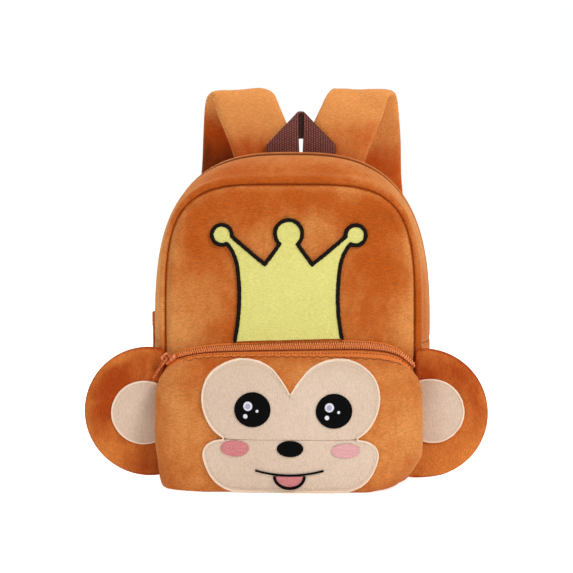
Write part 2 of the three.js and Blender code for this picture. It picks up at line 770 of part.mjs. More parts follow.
function topHandle() {
  const { foot, corner, peak, slit, backEdge } = HANDLE;
  const side = slit + peak - corner;
  const offset = HANDLE.side;
  const front = HANDLE_FRONT;
  const middle = front + WEBBING;
  const rear = middle + GAP + WEBBING;
  const inside = peak - 2 * WEBBING;
  const drawn = (points, sign = 1) =>
    new THREE.Shape(points.map(([x, z]) => new THREE.Vector2(offset + sign * x, z)));
  const leg = [[side, foot], [side, corner], [slit, peak], [slit, foot]];
  const fold = [[side, corner], [slit, peak], [slit, inside], [side, inside - peak + corner]];
  const crossPiece = [[-side, corner], [side, corner], [slit, peak], [-slit, peak]];
  const belowCross = [[-side, corner], [side, corner], [side, backEdge], [-side, backEdge]];
  const tip = [[-slit, peak], [slit, peak], [slit, peak - WEBBING], [-slit, peak - WEBBING]];
  const legs = prism(drawn(leg), front, middle).add(prism(drawn(leg, -1), front, middle));
  const folds = prism(drawn(fold), front, rear).add(prism(drawn(fold, -1), front, rear));
  const cross = prism(drawn(crossPiece), middle + GAP, rear);
  const back = cross.subtract(prism(drawn(belowCross), middle, rear + GAP));
  return toGeometry(legs.add(back).add(folds).add(prism(drawn(tip), front, rear)));
}

// Straps and webbing, swept along their bends

function bendPoints(bends, swing, sign) {
  const side = sign < 0 ? STRAP_SIDES.left : STRAP_SIDES.right;
  return bends.map(({ x, y, z, swing: share }) =>
    new THREE.Vector3(side * (1 - share) + sign * (x + swing * share), y, z));
}

function bandFrames(points, leans, sign, steps) {
  const curve = new THREE.CatmullRomCurve3(points);
  return Array.from({ length: steps + 1 }, (_, step) => {
    const share = curve.getUtoTmapping(step / steps);
    const place = share * (points.length - 1);
    const before = Math.min(Math.floor(place), points.length - 2);
    const lean = radians(THREE.MathUtils.lerp(leans[before], leans[before + 1], place - before));
    const along = curve.getTangent(share);
    const level = new THREE.Vector3(sign * Math.cos(lean), 0, -Math.sin(lean));
    const out = level.clone().cross(along).normalize();
    const across = along.clone().cross(out).normalize();
    return { middle: curve.getPoint(share), along, across, out };
  });
}

function band(frames, halfWidth, halfThick, profile) {
  const place = ({ middle, across, out }, wide, high) =>
    middle.clone().addScaledVector(across, wide).addScaledVector(out, high);
  const rows = (face) =>
    frames.map((frame) =>
      profile.map(({ spot, full }) => place(frame, spot * halfWidth, face * full * halfThick)),
    );
  return wall(rows(1), rows(-1), false);
}

// A plain adjuster on the strap's end.
function adjuster(strapEnd) {
  const { halfWidth, halfThick, halfLength } = ADJUSTER;
  const body = new THREE.BoxGeometry(2 * halfWidth, 2 * halfThick, 2 * halfLength);
  const { across, out, along } = strapEnd;
  const seat = new THREE.Matrix4().makeBasis(across, out, across.clone().cross(out));
  seat.setPosition(strapEnd.middle.clone().addScaledVector(along, GAP + halfLength));
  return body.applyMatrix4(seat);
}

function addStrap(side, sign, swing) {
  const leans = STRAP_BENDS.map((bend) => bend.lean);
  const strap = bandFrames(bendPoints(STRAP_BENDS, swing, sign), leans, sign, STRAP_STEPS);
  const strapEnd = strap.at(-1);
  const leaving = [2 * (GAP + ADJUSTER.halfLength), 3 * (GAP + ADJUSTER.halfLength)]
    .map((reach) => strapEnd.middle.clone().addScaledVector(strapEnd.along, reach));
  const webbingLeans = [leans.at(-1), leans.at(-1), ...WEBBING_BENDS.map((bend) => bend.lean)];
  const webbingPoints = [...leaving, ...bendPoints(WEBBING_BENDS, swing, sign)];
  const webbing = bandFrames(webbingPoints, webbingLeans, sign, WEBBING_STEPS);
  const padded = band(strap, STRAP_HALF_WIDTH, STRAP_HALF_THICK, PADDED_PROFILE);
  const flat = band(webbing, LOWER_WEBBING_HALF, WEBBING / 2, FLAT_PROFILE);
  addPiece(`strap_${side}`, padded, ORANGE_PLUSH);
  addPiece(`strap_adjuster_${side}`, adjuster(strapEnd), BROWN_WEBBING, HARD_ROUGHNESS);
  addPiece(`strap_webbing_${side}`, flat, BROWN_WEBBING);
}

// Bag
addPiece("front_panel", frontLayer(-PLUSH, 0), ORANGE_PLUSH);
addPiece("back_panel", backPanel(), ORANGE_PLUSH);
addPiece("gusset_front", gusset(archLine, BAG_LINES.slice(0, 4)), ORANGE_PLUSH);
addPiece("gusset_rear", gusset(archLine, BAG_LINES.slice(4)), ORANGE_PLUSH);
addPiece("gusset_base", gusset(baseLine, BAG_LINES), ORANGE_PLUSH);
addPiece("main_zip", mainZip(), ORANGE_ZIP, THREAD_ROUGHNESS);
addPiece("main_zip_slider", mainZipSlider(), ORANGE_ZIP, HARD_ROUGHNESS);

// Pocket
addPiece("pocket_panel", pocketLayer(-PLUSH, 0), ORANGE_PLUSH);
addPiece("pocket_zip_tape", zipTape(), ORANGE_ZIP, THREAD_ROUGHNESS);
const sliderFrame = zipFrame(SLIDER.at);
const coilStart = SLIDER.at + (SLIDER.front + COIL_CLEARANCE) / ZIP.lower.getLength();
addPiece("pocket_zip_coil", zipCoil(coilStart, 1 - SLIDER.at), ORANGE_ZIP, THREAD_ROUGHNESS);
const sliderSeat = new THREE.Group();
const towardsEnd = sliderFrame.along.clone().negate();
const acrossTape = sliderFrame.out.clone().cross(towardsEnd).normalize();
sliderSeat.setRotationFromMatrix(new THREE.Matrix4().makeBasis(towardsEnd, acrossTape, sliderFrame.out));
sliderSeat.position.copy(sliderFrame.middle).addScaledVector(sliderFrame.out, TAPE / 2 + GAP);
const slider = addPiece("pocket_zip_slider", sliderSolid(), ORANGE_ZIP, HARD_ROUGHNESS);
const pull = addPiece("pocket_zip_pull", pullSolid(), ORANGE_ZIP, HARD_ROUGHNESS);
pull.position.set(0, 0, SLIDER.thick + BRIDGE.rise / 2);
pull.rotation.y = radians(PULL.lean);
sliderSeat.add(slider, pull);
bag.add(sliderSeat);

// Ears
addPiece("ear_left", mirrored(ear(-EAR_SIDE)), EAR_PLUSH);
addPiece("ear_right", ear(EAR_SIDE), EAR_PLUSH);
addPiece("ear_inner_left", mirrored(earPatch(-EAR_SIDE, -EAR_PATCH_SIDE)), CREAM_PLUSH);
addPiece("ear_inner_right", earPatch(EAR_SIDE, EAR_PATCH_SIDE), CREAM_PLUSH);

// Crown
const crownLayer = toSolid(frontLayer(GAP, GAP + PATCH));
const borderLayer = toSolid(frontLayer(GAP, GAP + 2 * PATCH));
addPiece("crown_patch", toGeometry(crownLayer.intersect(crownPrism(0))), YELLOW_PLUSH);
const borderRing = crownPrism(CROWN_BORDER).subtract(crownPrism(GAP));
addPiece("crown_border", toGeometry(borderLayer.intersect(borderRing)), BLACK_THREAD, THREAD_ROUGHNESS);

// Face
addPiece("face_mask", facePatch(mirroredShape(MASK_HALF, FACE_SIDE), FACE_LOW, FACE_HIGH), CREAM_PLUSH);
addPiece("face_muzzle", facePatch(mirroredShape(MUZZLE_HALF, FACE_SIDE), FACE_LOW, FACE_HIGH), CREAM_PLUSH);
for (const [side, sign] of [["left", -1], ["right", 1]]) {
  const eye = { x: EYE_SIDE + sign * EYE.x, z: EYE.z, halfWidth: EYE.radius, halfHeight: EYE.radius };
  addPiece(`eye_${side}`, embroidery(eye), BLACK_THREAD, THREAD_ROUGHNESS);
  const cheek = { ...CHEEK, x: FACE_SIDE + sign * CHEEK.x };
  addPiece(`cheek_${side}`, embroidery(cheek), PINK_THREAD, THREAD_ROUGHNESS);
}
addPiece("nose", embroidery(NOSE), BLACK_THREAD, THREAD_ROUGHNESS);
addPiece("mouth_line", toGeometry(mouthSolid()), BLACK_THREAD, THREAD_ROUGHNESS);
const tongue = facePatch(tongueShape(0, 0), THREAD_LOW, THREAD_HIGH);
addPiece("tongue", tongue, PINK_THREAD, THREAD_ROUGHNESS);

// Handle and straps
addPiece("top_handle", topHandle(), BROWN_WEBBING);
addStrap("left", -1, LEFT_SWING);
addStrap("right", 1, 0);

// The origin lies under the middle of the whole object, on the surface that it stands on.
bag.updateMatrixWorld(true);
const middle = new THREE.Box3().setFromObject(bag, true).getCenter(new THREE.Vector3());
bag.position.set(-middle.x, -middle.y, 0);

export default bag;
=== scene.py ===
# %% [markdown]
# # A plush animal backpack
# This lesson dresses a plain solid model of a child's plush backpack. The solids give every piece its
# place and size. Here each soft piece is sewn, padded and given its nap, and the small work is added:
# stitched borders, embroidered eyes, zip teeth and woven webbing.

# %% Load the solids
import math
from collections import Counter

import bpy
import numpy as np
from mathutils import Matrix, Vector
from mathutils.kdtree import KDTree


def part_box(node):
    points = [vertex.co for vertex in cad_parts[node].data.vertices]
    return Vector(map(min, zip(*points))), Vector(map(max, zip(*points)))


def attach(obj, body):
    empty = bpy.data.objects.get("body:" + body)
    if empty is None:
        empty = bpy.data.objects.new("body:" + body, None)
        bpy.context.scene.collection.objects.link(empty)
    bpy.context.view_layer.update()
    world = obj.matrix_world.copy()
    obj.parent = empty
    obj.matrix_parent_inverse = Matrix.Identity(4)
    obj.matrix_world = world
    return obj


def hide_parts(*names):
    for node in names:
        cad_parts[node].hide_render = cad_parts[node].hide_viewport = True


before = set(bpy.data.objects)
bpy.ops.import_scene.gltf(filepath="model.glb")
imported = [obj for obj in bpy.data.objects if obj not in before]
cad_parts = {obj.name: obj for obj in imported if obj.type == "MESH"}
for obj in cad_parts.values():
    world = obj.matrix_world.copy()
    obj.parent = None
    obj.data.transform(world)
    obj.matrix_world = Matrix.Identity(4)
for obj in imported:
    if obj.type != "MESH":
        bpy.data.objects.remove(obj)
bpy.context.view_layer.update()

# %% [markdown]
# ## The bag's own millimetres
# A pattern cutter thinks in millimetres from the middle of the bag: X to the right, Y from the front to
# the back and Z up from the table. Blender works in metres, so a few helpers go between the two.

# %% Places on the bag
MM = 0.001
BACK_FACE = 54.3
FORWARD = Vector((0, -1, 0))
back_low, back_high = (Vector(corner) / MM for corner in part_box("back_panel"))
MIDDLE = (back_low.x + back_high.x) / 2
ROW_DEPTH = back_high.y - BACK_FACE


def at(x, y, z):
    """A place in the bag's millimetres, as a point in metres."""
    return Vector((x + MIDDLE, y + ROW_DEPTH, z)) * MM


def points_of(piece):
    """A piece's points in metres, as rows of X, Y and Z."""
    points = np.empty(len(piece.data.vertices) * 3)
    piece.data.vertices.foreach_get("co", points)
    return points.reshape(-1, 3)


def in_bag(points):
    """Points in metres, turned into the bag's millimetres."""
    return (points - np.array(at(0, 0, 0))) / MM


def axes_of(piece):
    """The X, the Y and the Z of a piece's points in the bag's millimetres."""
    return in_bag(points_of(piece)).T


def move_points(piece, points):
    piece.data.vertices.foreach_set("co", np.asarray(points).ravel())
    piece.data.update()


def shift(piece, x=0, y=0, z=0):
    """Moves each point of a piece by its own millimetres."""
    moves = np.broadcast_arrays(np.zeros(len(piece.data.vertices)), x, y, z)[1:]
    move_points(piece, points_of(piece) + np.stack(moves, axis=1) * MM)


print("front of the bag's frame:", at(0, 0, 0))

# %% [markdown]
# ## Camera, table and light
# The bag was photographed from a little above and a little to its right, with a long lens. The table is a
# large pale plane. Broad area lamps and a bright world stand in for a white studio, so that the nap is
# lit softly from every side and a little more from the upper right.

# %% Camera
AZIMUTH = math.radians(2.5)
ELEVATION = math.radians(6)
CAMERA_DISTANCE = 1.5
FOCAL_PIXELS = 1960
IMAGE_PIXELS = 573
SENSOR = 36
LOOK_AT = at(-3, 0, 151)


def fresh(operator, **settings):
    """Runs an operator that adds an object while nothing is selected, and returns that object."""
    bpy.ops.object.select_all(action="DESELECT")
    operator(**settings)
    return bpy.context.object


to_camera = Vector((
    math.sin(AZIMUTH) * math.cos(ELEVATION),
    -math.cos(AZIMUTH) * math.cos(ELEVATION),
    math.sin(ELEVATION),
))
camera = fresh(bpy.ops.object.camera_add, location=LOOK_AT + CAMERA_DISTANCE * to_camera)
camera.rotation_euler = to_camera.to_track_quat("Z", "Y").to_euler()
camera.data.sensor_width = SENSOR
camera.data.lens = FOCAL_PIXELS / IMAGE_PIXELS * SENSOR
bpy.context.scene.camera = camera
print("lens:", round(camera.data.lens, 1), "mm")

# %% Table and lamps
FLOOR_SIZE = 8
LAMP_AIM = at(0, 0, 140)
LAMPS = [
    {"name": "key", "place": (1.05, -1.15, 1.4), "size": 0.6, "power": 22.5},
    {"name": "fill", "place": (-1.2, -1.3, 0.8), "size": 0.9, "power": 5.6},
    {"name": "top", "place": (0.1, 0.1, 1.7), "size": 0.9, "power": 10},
    {"name": "rim left", "place": (-1.1, 0.8, 1.0), "size": 0.8, "power": 6},
    {"name": "rim right", "place": (1.1, 0.8, 1.0), "size": 0.8, "power": 5},
]

floor = fresh(bpy.ops.mesh.primitive_plane_add, size=FLOOR_SIZE)
floor.name = "table"
for lamp in LAMPS:
    light = fresh(bpy.ops.object.light_add, type="AREA", location=lamp["place"])
    light.name = lamp["name"]
    light.data.size = lamp["size"]
    light.data.energy = lamp["power"]
    aim = Vector(lamp["place"]) - LAMP_AIM
    light.rotation_euler = aim.to_track_quat("Z", "Y").to_euler()
print("lamps:", [lamp["name"] for lamp in LAMPS])

# %% Studio world
WORLD_LIGHT = 0.24

bpy.context.scene.view_settings.view_transform = "Standard"
world = bpy.data.worlds.new("studio")
bpy.context.scene.world = world
world.use_nodes = True
sky = world.node_tree.nodes["Background"]
sky.inputs["Color"].default_value = (1, 1, 1, 1)
ray = world.node_tree.nodes.new("ShaderNodeLightPath")
backdrop = world.node_tree.nodes.new("ShaderNodeMapRange")
backdrop.inputs["To Min"].default_value = WORLD_LIGHT
backdrop.inputs["To Max"].default_value = 1
world.node_tree.links.new(ray.outputs["Is Camera Ray"], backdrop.inputs["Value"])
world.node_tree.links.new(backdrop.outputs["Result"], sky.inputs["Strength"])
print("world light:", WORLD_LIGHT)

# %% [markdown]
# ## Colours and shader groups
# Three effects come back in many finishes, so each is a shader group: the nap of plush, with its painted
# shade and painted highlight specks, the parallel threads of satin stitch, with a painted highlight on each
# thread, and the over-and-under of woven tape, with painted shade between the yarns. A group puts out a
# colour and a height. The shader itself stays in each material.

# %% Group helpers
def tone(red, green, blue):
    """A colour as it is seen on a screen, turned into the linear values that shaders use."""
    shares = np.array((red, green, blue)) / 255
    linear = np.where(shares <= 0.04045, shares / 12.92, ((shares + 0.055) / 1.055) ** 2.4)
    return (*linear.tolist(), 1)


def new_group(name, **inputs):
    """A shader group that puts out a colour and a height. Returns its tree, its inputs and its outputs."""
    group = bpy.data.node_groups.new(name, "ShaderNodeTree")
    for way, sockets in (("INPUT", inputs), ("OUTPUT", {"Color": "Color", "Height": "Float"})):
        for label, kind in sockets.items():
            group.interface.new_socket(name=label, in_out=way, socket_type="NodeSocket" + kind)
    return group, group.nodes.new("NodeGroupInput").outputs, group.nodes.new("NodeGroupOutput").inputs


def add(tree, kind, sockets=None, **settings):
    """One shader node. A socket's value is either linked, if it comes from a node, or set."""
    made = tree.nodes.new("ShaderNode" + kind)
    for setting, value in settings.items():
        setattr(made, setting, value)
    for label, value in (sockets or {}).items():
        if isinstance(value, bpy.types.NodeSocket):
            tree.links.new(value, made.inputs[label])
        else:
            made.inputs[label].default_value = value
    return made


def reckon(tree, operation, first, second=0.0):
    return add(tree, "Math", {0: first, 1: second}, operation=operation).outputs[0]


def mix_colour(tree, share, first, second, blend="MIX"):
    return add(tree, "Mix", {0: share, 6: first, 7: second}, data_type="RGBA", blend_type=blend).outputs[2]


def spread(tree, value, old, new):
    """Maps a value softly from an old range to a new one, each given by its two ends."""
    return add(tree, "MapRange", {
        "Value": value, "From Min": old[0], "From Max": old[1], "To Min": new[0], "To Max": new[1],
    }, interpolation_type="SMOOTHSTEP").outputs["Result"]


def noise(tree, vector, scale, detail, distortion=0.0):
    return add(tree, "TexNoise", {
        "Vector": vector, "Scale": scale, "Detail": detail, "Distortion": distortion,
    }).outputs["Fac"]


print("group helpers ready")

# %% Plush nap
COMB = (1.2, 1.2, 0.8)
NAP_NOISE = {
    "patches": {"detail": 1.5, "distortion": 0.6},
    "strokes": {"scale": 90.0, "detail": 4.0, "distortion": 0.4},
    "knit": {"scale": 900.0, "detail": 1.0},
    "tufts": {"scale": 950.0, "detail": 2.0},
    "fibres": {"scale": 2000.0, "detail": 1.0},
}
NAP_HEIGHT = {"tufts": 0.42, "fibres": 0.24, "knit": 0.34}
NAP_RANGE = {
    "patches": {"old": (0.28, 0.72), "new": (0.05, 0.56)},
    "strokes": {"old": (0.3, 0.7), "new": (0, 0.21)},
    "lain": {"old": (0, 1), "new": (0, 1)},
    "painted_shade": {"old": (-0.8, 0.05), "new": (0.35, 1)},
    "speckle": {"old": (0.36, 0.64), "new": (0.56, 1.44)},
}

nap, given, out = new_group(
    "plush nap", Dark="Color", Light="Color", Patches="Float", Grain="Float", Rows="Vector", Brushed="Float")
place = add(nap, "TexCoord").outputs["Object"]
combed = add(nap, "Mapping", {"Vector": place, "Scale": COMB}).outputs["Vector"]
rows = add(nap, "Mapping", {"Vector": place, "Scale": given["Rows"]}).outputs["Vector"]
patches = spread(nap, noise(nap, place, given["Patches"], **NAP_NOISE["patches"]), **NAP_RANGE["patches"])
strokes = spread(nap, noise(nap, combed, **NAP_NOISE["strokes"]), **NAP_RANGE["strokes"])
lie_and_light = reckon(nap, "ADD", reckon(nap, "ADD", patches, strokes), given["Brushed"])
lain = mix_colour(nap, spread(nap, lie_and_light, **NAP_RANGE["lain"]), given["Dark"], given["Light"])
# Where the value falls below zero the colour is darkened further: painted shade at seams, in shadows and in
# the darkest strokes.
shade = mix_colour(nap, 1.0, lain, spread(nap, lie_and_light, **NAP_RANGE["painted_shade"]), "MULTIPLY")
tufts, fibres, knit = (
    reckon(nap, "MULTIPLY", noise(nap, vector, **NAP_NOISE[name]), NAP_HEIGHT[name])
    for name, vector in (("tufts", place), ("fibres", place), ("knit", rows)))
depth = reckon(nap, "ADD", reckon(nap, "ADD", tufts, fibres), knit)
# The colour follows the fine relief, darker in its lows and lighter on its tops: grain, with painted shade
# between the fibres and painted highlight specks on them.
speckle = spread(nap, depth, **NAP_RANGE["speckle"])
nap.links.new(mix_colour(nap, given["Grain"], shade, speckle, "MULTIPLY"), out["Color"])
nap.links.new(depth, out["Height"])
print("group:", nap.name)

# %% Satin thread
HALF_TURN = 0.5
WAVER = {"scale": 260.0, "detail": 1.0}
WAVER_REACH = 1.1
FLECK = {"scale": 900.0, "detail": 1.0}
THREAD_RIDGE = {"old": (0.02, 0.42), "new": (0, 1)}
THREAD_GLEAM = {"old": (0.3, 0.7), "new": (0.35, 1)}

satin, given, out = new_group(
    "satin thread", Thread="Color", Shine="Color", Across="Float", Along="Float", Pitch="Float")
line = add(satin, "CombineXYZ", {"X": given["Across"], "Y": given["Along"]}).outputs[0]
waver = reckon(satin, "MULTIPLY", noise(satin, line, **WAVER), WAVER_REACH)
count = reckon(satin, "ADD", reckon(satin, "DIVIDE", given["Across"], given["Pitch"]), waver)
ridge = spread(satin, reckon(satin, "PINGPONG", count, HALF_TURN), **THREAD_RIDGE)
# The ridge of each thread takes the lighter shine colour, flecked by noise: a painted highlight.
gleam = reckon(satin, "MULTIPLY", ridge, spread(satin, noise(satin, line, **FLECK), **THREAD_GLEAM))
satin.links.new(mix_colour(satin, gleam, given["Thread"], given["Shine"]), out["Color"])
satin.links.new(ridge, out["Height"])
print("group:", satin.name)

# %% Woven tape
WARP = {"old": (0.03, 0.34), "new": (0, 1)}
WEFT = {"old": (0, 0.3), "new": (0.2, 1)}
FUZZ = {"scale": 800.0, "detail": 2.0}
FUZZ_RANGE = {"old": (0.3, 0.7), "new": (0.6, 1.1)}

weave, given, out = new_group(
    "woven tape", Yarn="Color", Gap="Color", Across="Float", Along="Float", Pitch="Float")
ends = reckon(weave, "DIVIDE", given["Across"], given["Pitch"])
picks = reckon(weave, "DIVIDE", given["Along"], given["Pitch"])
shifted = reckon(weave, "ADD", picks, reckon(weave, "MULTIPLY", reckon(weave, "FLOOR", ends), HALF_TURN))
over = spread(weave, reckon(weave, "PINGPONG", ends, HALF_TURN), **WARP)
under = spread(weave, reckon(weave, "PINGPONG", shifted, HALF_TURN), **WEFT)
knuckle = reckon(weave, "MULTIPLY", over, under)
cell = add(weave, "CombineXYZ", {"X": given["Across"], "Y": given["Along"]}).outputs[0]
raised = reckon(weave, "MULTIPLY", knuckle, spread(weave, noise(weave, cell, **FUZZ), **FUZZ_RANGE))
# Where no yarn is raised the darker gap colour shows: painted shade between the yarns.
weave.links.new(mix_colour(weave, raised, given["Gap"], given["Yarn"]), out["Color"])
weave.links.new(knuckle, out["Height"])
print("group:", weave.name)

# %% [markdown]
# ## Finishes
# Plush is rough and scatters light at glancing angles, so it gets a strong sheen in its own colour. Thread
# is smoother than plush and shines along its length, and its ridges get a painted highlight. Webbing and
# zip tape are plain weaves, with painted shade between the yarns. Hard pieces are mottled a little, because
# no real surface has one flat colour. Each kind has a function and a table.

# %% Plush finishes
NAP_AND_PAINTED_LIGHT = "nap_and_painted_light"
PLUSH_BUMP = {"Strength": 0.7, "Distance": 0.0013}
ROWS_ACROSS = (0.35, 0.35, 1.5)
ROWS_UP = (1.5, 0.35, 0.35)
PLUSHES = {
    "orange plush": {"dark": (176, 80, 16), "light": (210, 138, 73), "patches": 12.0, "grain_and_sparkle": 0.44,
        "sheen": 0.6, "tint": (255, 192, 128), "rows": ROWS_ACROSS},
    "ear plush": {"dark": (162, 62, 9), "light": (202, 116, 50), "patches": 14.0, "grain_and_sparkle": 0.42,
        "sheen": 0.5, "tint": (255, 180, 112), "rows": ROWS_UP},
    "strap plush": {"dark": (184, 77, 13), "light": (214, 139, 74), "patches": 12.0, "grain_and_sparkle": 0.34,
        "sheen": 0.5, "tint": (255, 192, 128), "rows": ROWS_ACROSS},
    "cream plush": {"dark": (207, 182, 161), "light": (217, 194, 174), "patches": 14.0, "grain_and_sparkle": 0.22,
        "sheen": 0.12, "tint": (255, 244, 230), "rows": ROWS_UP},
    "yellow plush": {"dark": (212, 206, 118), "light": (220, 214, 130), "patches": 14.0, "grain_and_sparkle": 0.2,
        "sheen": 0.08, "tint": (255, 255, 210), "rows": ROWS_ACROSS},
}
finishes = {}


def new_finish(name, sockets):
    """A material whose shader has some sockets set. Returns its tree and its shader."""
    finish = bpy.data.materials.new(name)
    finish.use_nodes = True
    shader = finish.node_tree.nodes["Principled BSDF"]
    for label, value in sockets.items():
        shader.inputs[label].default_value = value
    finishes[name] = finish
    return finish.node_tree, shader


def connect(tree, shader, effect, bump):
    """Links a group's colour and height to the shader."""
    height = add(tree, "Bump", {"Height": effect.outputs["Height"], **bump})
    tree.links.new(effect.outputs["Color"], shader.inputs["Base Color"])
    tree.links.new(height.outputs["Normal"], shader.inputs["Normal"])


def plush_finish(name, dark, light, patches, grain_and_sparkle, sheen, tint, rows):
    tree, shader = new_finish(name, {
        "Roughness": 0.92, "Specular IOR Level": 0.15,
        "Sheen Weight": sheen, "Sheen Tint": tone(*tint), "Sheen Roughness": 0.45,
    })
    lie_and_light = add(tree, "Attribute", attribute_name=NAP_AND_PAINTED_LIGHT).outputs["Fac"]
    effect = add(tree, "Group", {
        "Dark": tone(*dark), "Light": tone(*light), "Patches": patches, "Grain": grain_and_sparkle, "Rows": rows,
        "Brushed": lie_and_light,
    }, node_tree=nap)
    connect(tree, shader, effect, PLUSH_BUMP)


for name, row in PLUSHES.items():
    plush_finish(name, **row)
print("plush finishes:", list(finishes))

# %% Thread and tape finishes
THREAD_BUMP = {"Strength": 0.6, "Distance": 0.0003}
TAPE_BUMP = {"Strength": 0.8, "Distance": 0.0005}
# Each thread's shine colour is the painted highlight on its ridges.
THREADS = {
    "black satin": {"thread": (2, 2, 2), "shine": (28, 22, 20), "pitch": 1.1, "follows_uv": True,
        "roughness": 0.7, "specular": 0.06},
    "black thread": {"thread": (2, 2, 2), "shine": (14, 12, 13), "pitch": 0.9,
        "roughness": 0.7, "specular": 0.05},
    "pink thread": {"thread": (188, 96, 97), "shine": (226, 156, 157), "pitch": 1.0},
    "pale pink thread": {"thread": (206, 140, 142), "shine": (236, 186, 188), "pitch": 1.0},
    "white thread": {"thread": (205, 203, 216), "shine": (246, 245, 252), "pitch": 0.7},
    "grey thread": {"thread": (150, 152, 178), "shine": (186, 188, 210), "pitch": 0.7},
    "cream satin": {"thread": (212, 184, 157), "shine": (238, 216, 194), "pitch": 0.9, "follows_uv": True},
    "cream thread": {"thread": (176, 146, 118), "shine": (206, 178, 150), "pitch": 0.6},
    "rust thread": {"thread": (158, 70, 22), "shine": (200, 106, 46), "pitch": 0.6},
    "dark rust thread": {"thread": (108, 40, 9), "shine": (142, 60, 18), "pitch": 0.6},
    # This thread also paints the shadow line in the front seam.
    "deep rust shadow thread": {"thread": (118, 47, 12), "shine": (146, 66, 22), "pitch": 0.6,
        "roughness": 0.8, "specular": 0.03},
}
# The gap colour is painted shade between the yarns.
TAPES = {
    "brown webbing": {"yarn": (154, 82, 70), "gap": (58, 20, 14), "pitch": 1.9},
    "zip tape": {"yarn": (246, 142, 54), "gap": (224, 112, 34), "pitch": 1.1},
}


def split_place(tree, coordinates):
    return add(tree, "SeparateXYZ", {"Vector": add(tree, "TexCoord").outputs[coordinates]}).outputs


def thread_finish(name, thread, shine, pitch, follows_uv=False, roughness=0.45, specular=0.25):
    """Threads that lie level on the bag or, on a border, run across its UV map."""
    tree, shader = new_finish(name, {"Roughness": roughness, "Specular IOR Level": specular})
    split = split_place(tree, "UV" if follows_uv else "Object")
    across, along = (split["X"], split["Y"]) if follows_uv else (split["Z"], split["X"])
    effect = add(tree, "Group", {
        "Thread": tone(*thread), "Shine": tone(*shine),
        "Across": across, "Along": along, "Pitch": pitch * MM,
    }, node_tree=satin)
    connect(tree, shader, effect, THREAD_BUMP)


def tape_finish(name, yarn, gap, pitch):
    """A plain weave that is darker where the attribute says so: painted shadow, on the handle's inner layer.
    """
    tree, shader = new_finish(name, {"Roughness": 0.7, "Sheen Weight": 0.15, "Sheen Tint": tone(*yarn)})
    split = split_place(tree, "Object")
    effect = add(tree, "Group", {
        "Yarn": tone(*yarn), "Gap": tone(*gap),
        "Across": split["X"], "Along": split["Z"], "Pitch": pitch * MM,
    }, node_tree=weave)
    connect(tree, shader, effect, TAPE_BUMP)
    lit = reckon(tree, "ADD", add(tree, "Attribute", attribute_name=NAP_AND_PAINTED_LIGHT).outputs["Fac"], 1.0)
    shaded = mix_colour(tree, 1.0, effect.outputs["Color"], lit, "MULTIPLY")
    tree.links.new(shaded, shader.inputs["Base Color"])


for name, row in THREADS.items():
    thread_finish(name, **row)
for name, row in TAPES.items():
    tape_finish(name, **row)
print("thread and tape finishes:", len(THREADS) + len(TAPES))

# %% Hard finishes
TABLE_GLOW = {"bounced": 0.25, "seen": 0.8}
HARD = {
    "zip teeth": {"dark": (216, 108, 44), "light": (250, 166, 100), "scale": 500.0, "detail": 2.0,
        "sockets": {"Roughness": 0.42}},
    "painted metal": {"dark": (186, 82, 26), "light": (226, 126, 60), "scale": 420.0, "detail": 3.0,
        "chips": {"old": (0.35, 0.7), "new": (0, 1)}, "worn": {"old": (0, 1), "new": (0.42, 0.26)},
        "sockets": {"Coat Weight": 0.15, "Coat Roughness": 0.2}},
    "brown plastic": {"dark": (76, 34, 26), "light": (104, 52, 42), "scale": 900.0, "detail": 3.0,
        "worn": {"old": (0.3, 0.7), "new": (0.4, 0.6)}},
    "pale table": {"dark": (249, 249, 249), "light": (254, 254, 254), "scale": 3.0, "detail": 2.0,
        "sockets": {"Roughness": 0.9, "Emission Color": (1, 1, 1, 1)}},
}


def hard_finish(name, dark, light, scale, detail, chips=None, worn=None, sockets=None):
    """A mottled colour. Chips sharpen the mottling, and wear changes the roughness with it."""
    tree, shader = new_finish(name, sockets or {})
    mottle = noise(tree, add(tree, "TexCoord").outputs["Object"], scale, detail)
    if chips:
        mottle = spread(tree, mottle, **chips)
    tree.links.new(mix_colour(tree, mottle, tone(*dark), tone(*light)), shader.inputs["Base Color"])
    if worn:
        tree.links.new(spread(tree, mottle, **worn), shader.inputs["Roughness"])


for name, row in HARD.items():
    hard_finish(name, **row)
tree = finishes["pale table"].node_tree
seen = add(tree, "LightPath").outputs["Is Camera Ray"]
glow = spread(tree, seen, (0, 1), (TABLE_GLOW["bounced"], TABLE_GLOW["seen"]))
tree.links.new(glow, tree.nodes["Principled BSDF"].inputs["Emission Strength"])
floor.data.materials.append(finishes["pale table"])
print("finishes:", len(finishes))

# %% [markdown]
# ## Helpers for modelling by hand
# Operators act on whatever is selected, so each helper first picks one object alone. Modifiers are added,
# set and applied in one step. Faces and edges are chosen in code by their place or by the way they look.

# %% Picking and choosing
def pick(piece):
    """Selects one object alone and makes it active."""
    bpy.ops.object.select_all(action="DESELECT")
    piece.select_set(True)
    bpy.context.view_layer.objects.active = piece


def edit(piece, mode="VERT"):
    """Opens one object in edit mode with all of it selected."""
    pick(piece)
    bpy.ops.object.mode_set(mode="EDIT")
    bpy.ops.mesh.select_mode(type=mode)
    bpy.ops.mesh.select_all(action="SELECT")


def close():
    bpy.ops.object.mode_set(mode="OBJECT")


def choose(piece, mode, wanted):
    """Opens one object in edit mode with those of its faces or edges selected that pass a test."""
    edit(piece, mode)
    bpy.ops.mesh.select_all(action="DESELECT")
    close()
    for part in piece.data.polygons if mode == "FACE" else piece.data.edges:
        part.select = bool(wanted(part))
    bpy.ops.object.mode_set(mode="EDIT")


def keep_faces(piece, wanted):
    """Deletes the faces that don't pass a test."""
    choose(piece, "FACE", lambda face: not wanted(face))
    bpy.ops.mesh.delete(type="FACE")
    close()


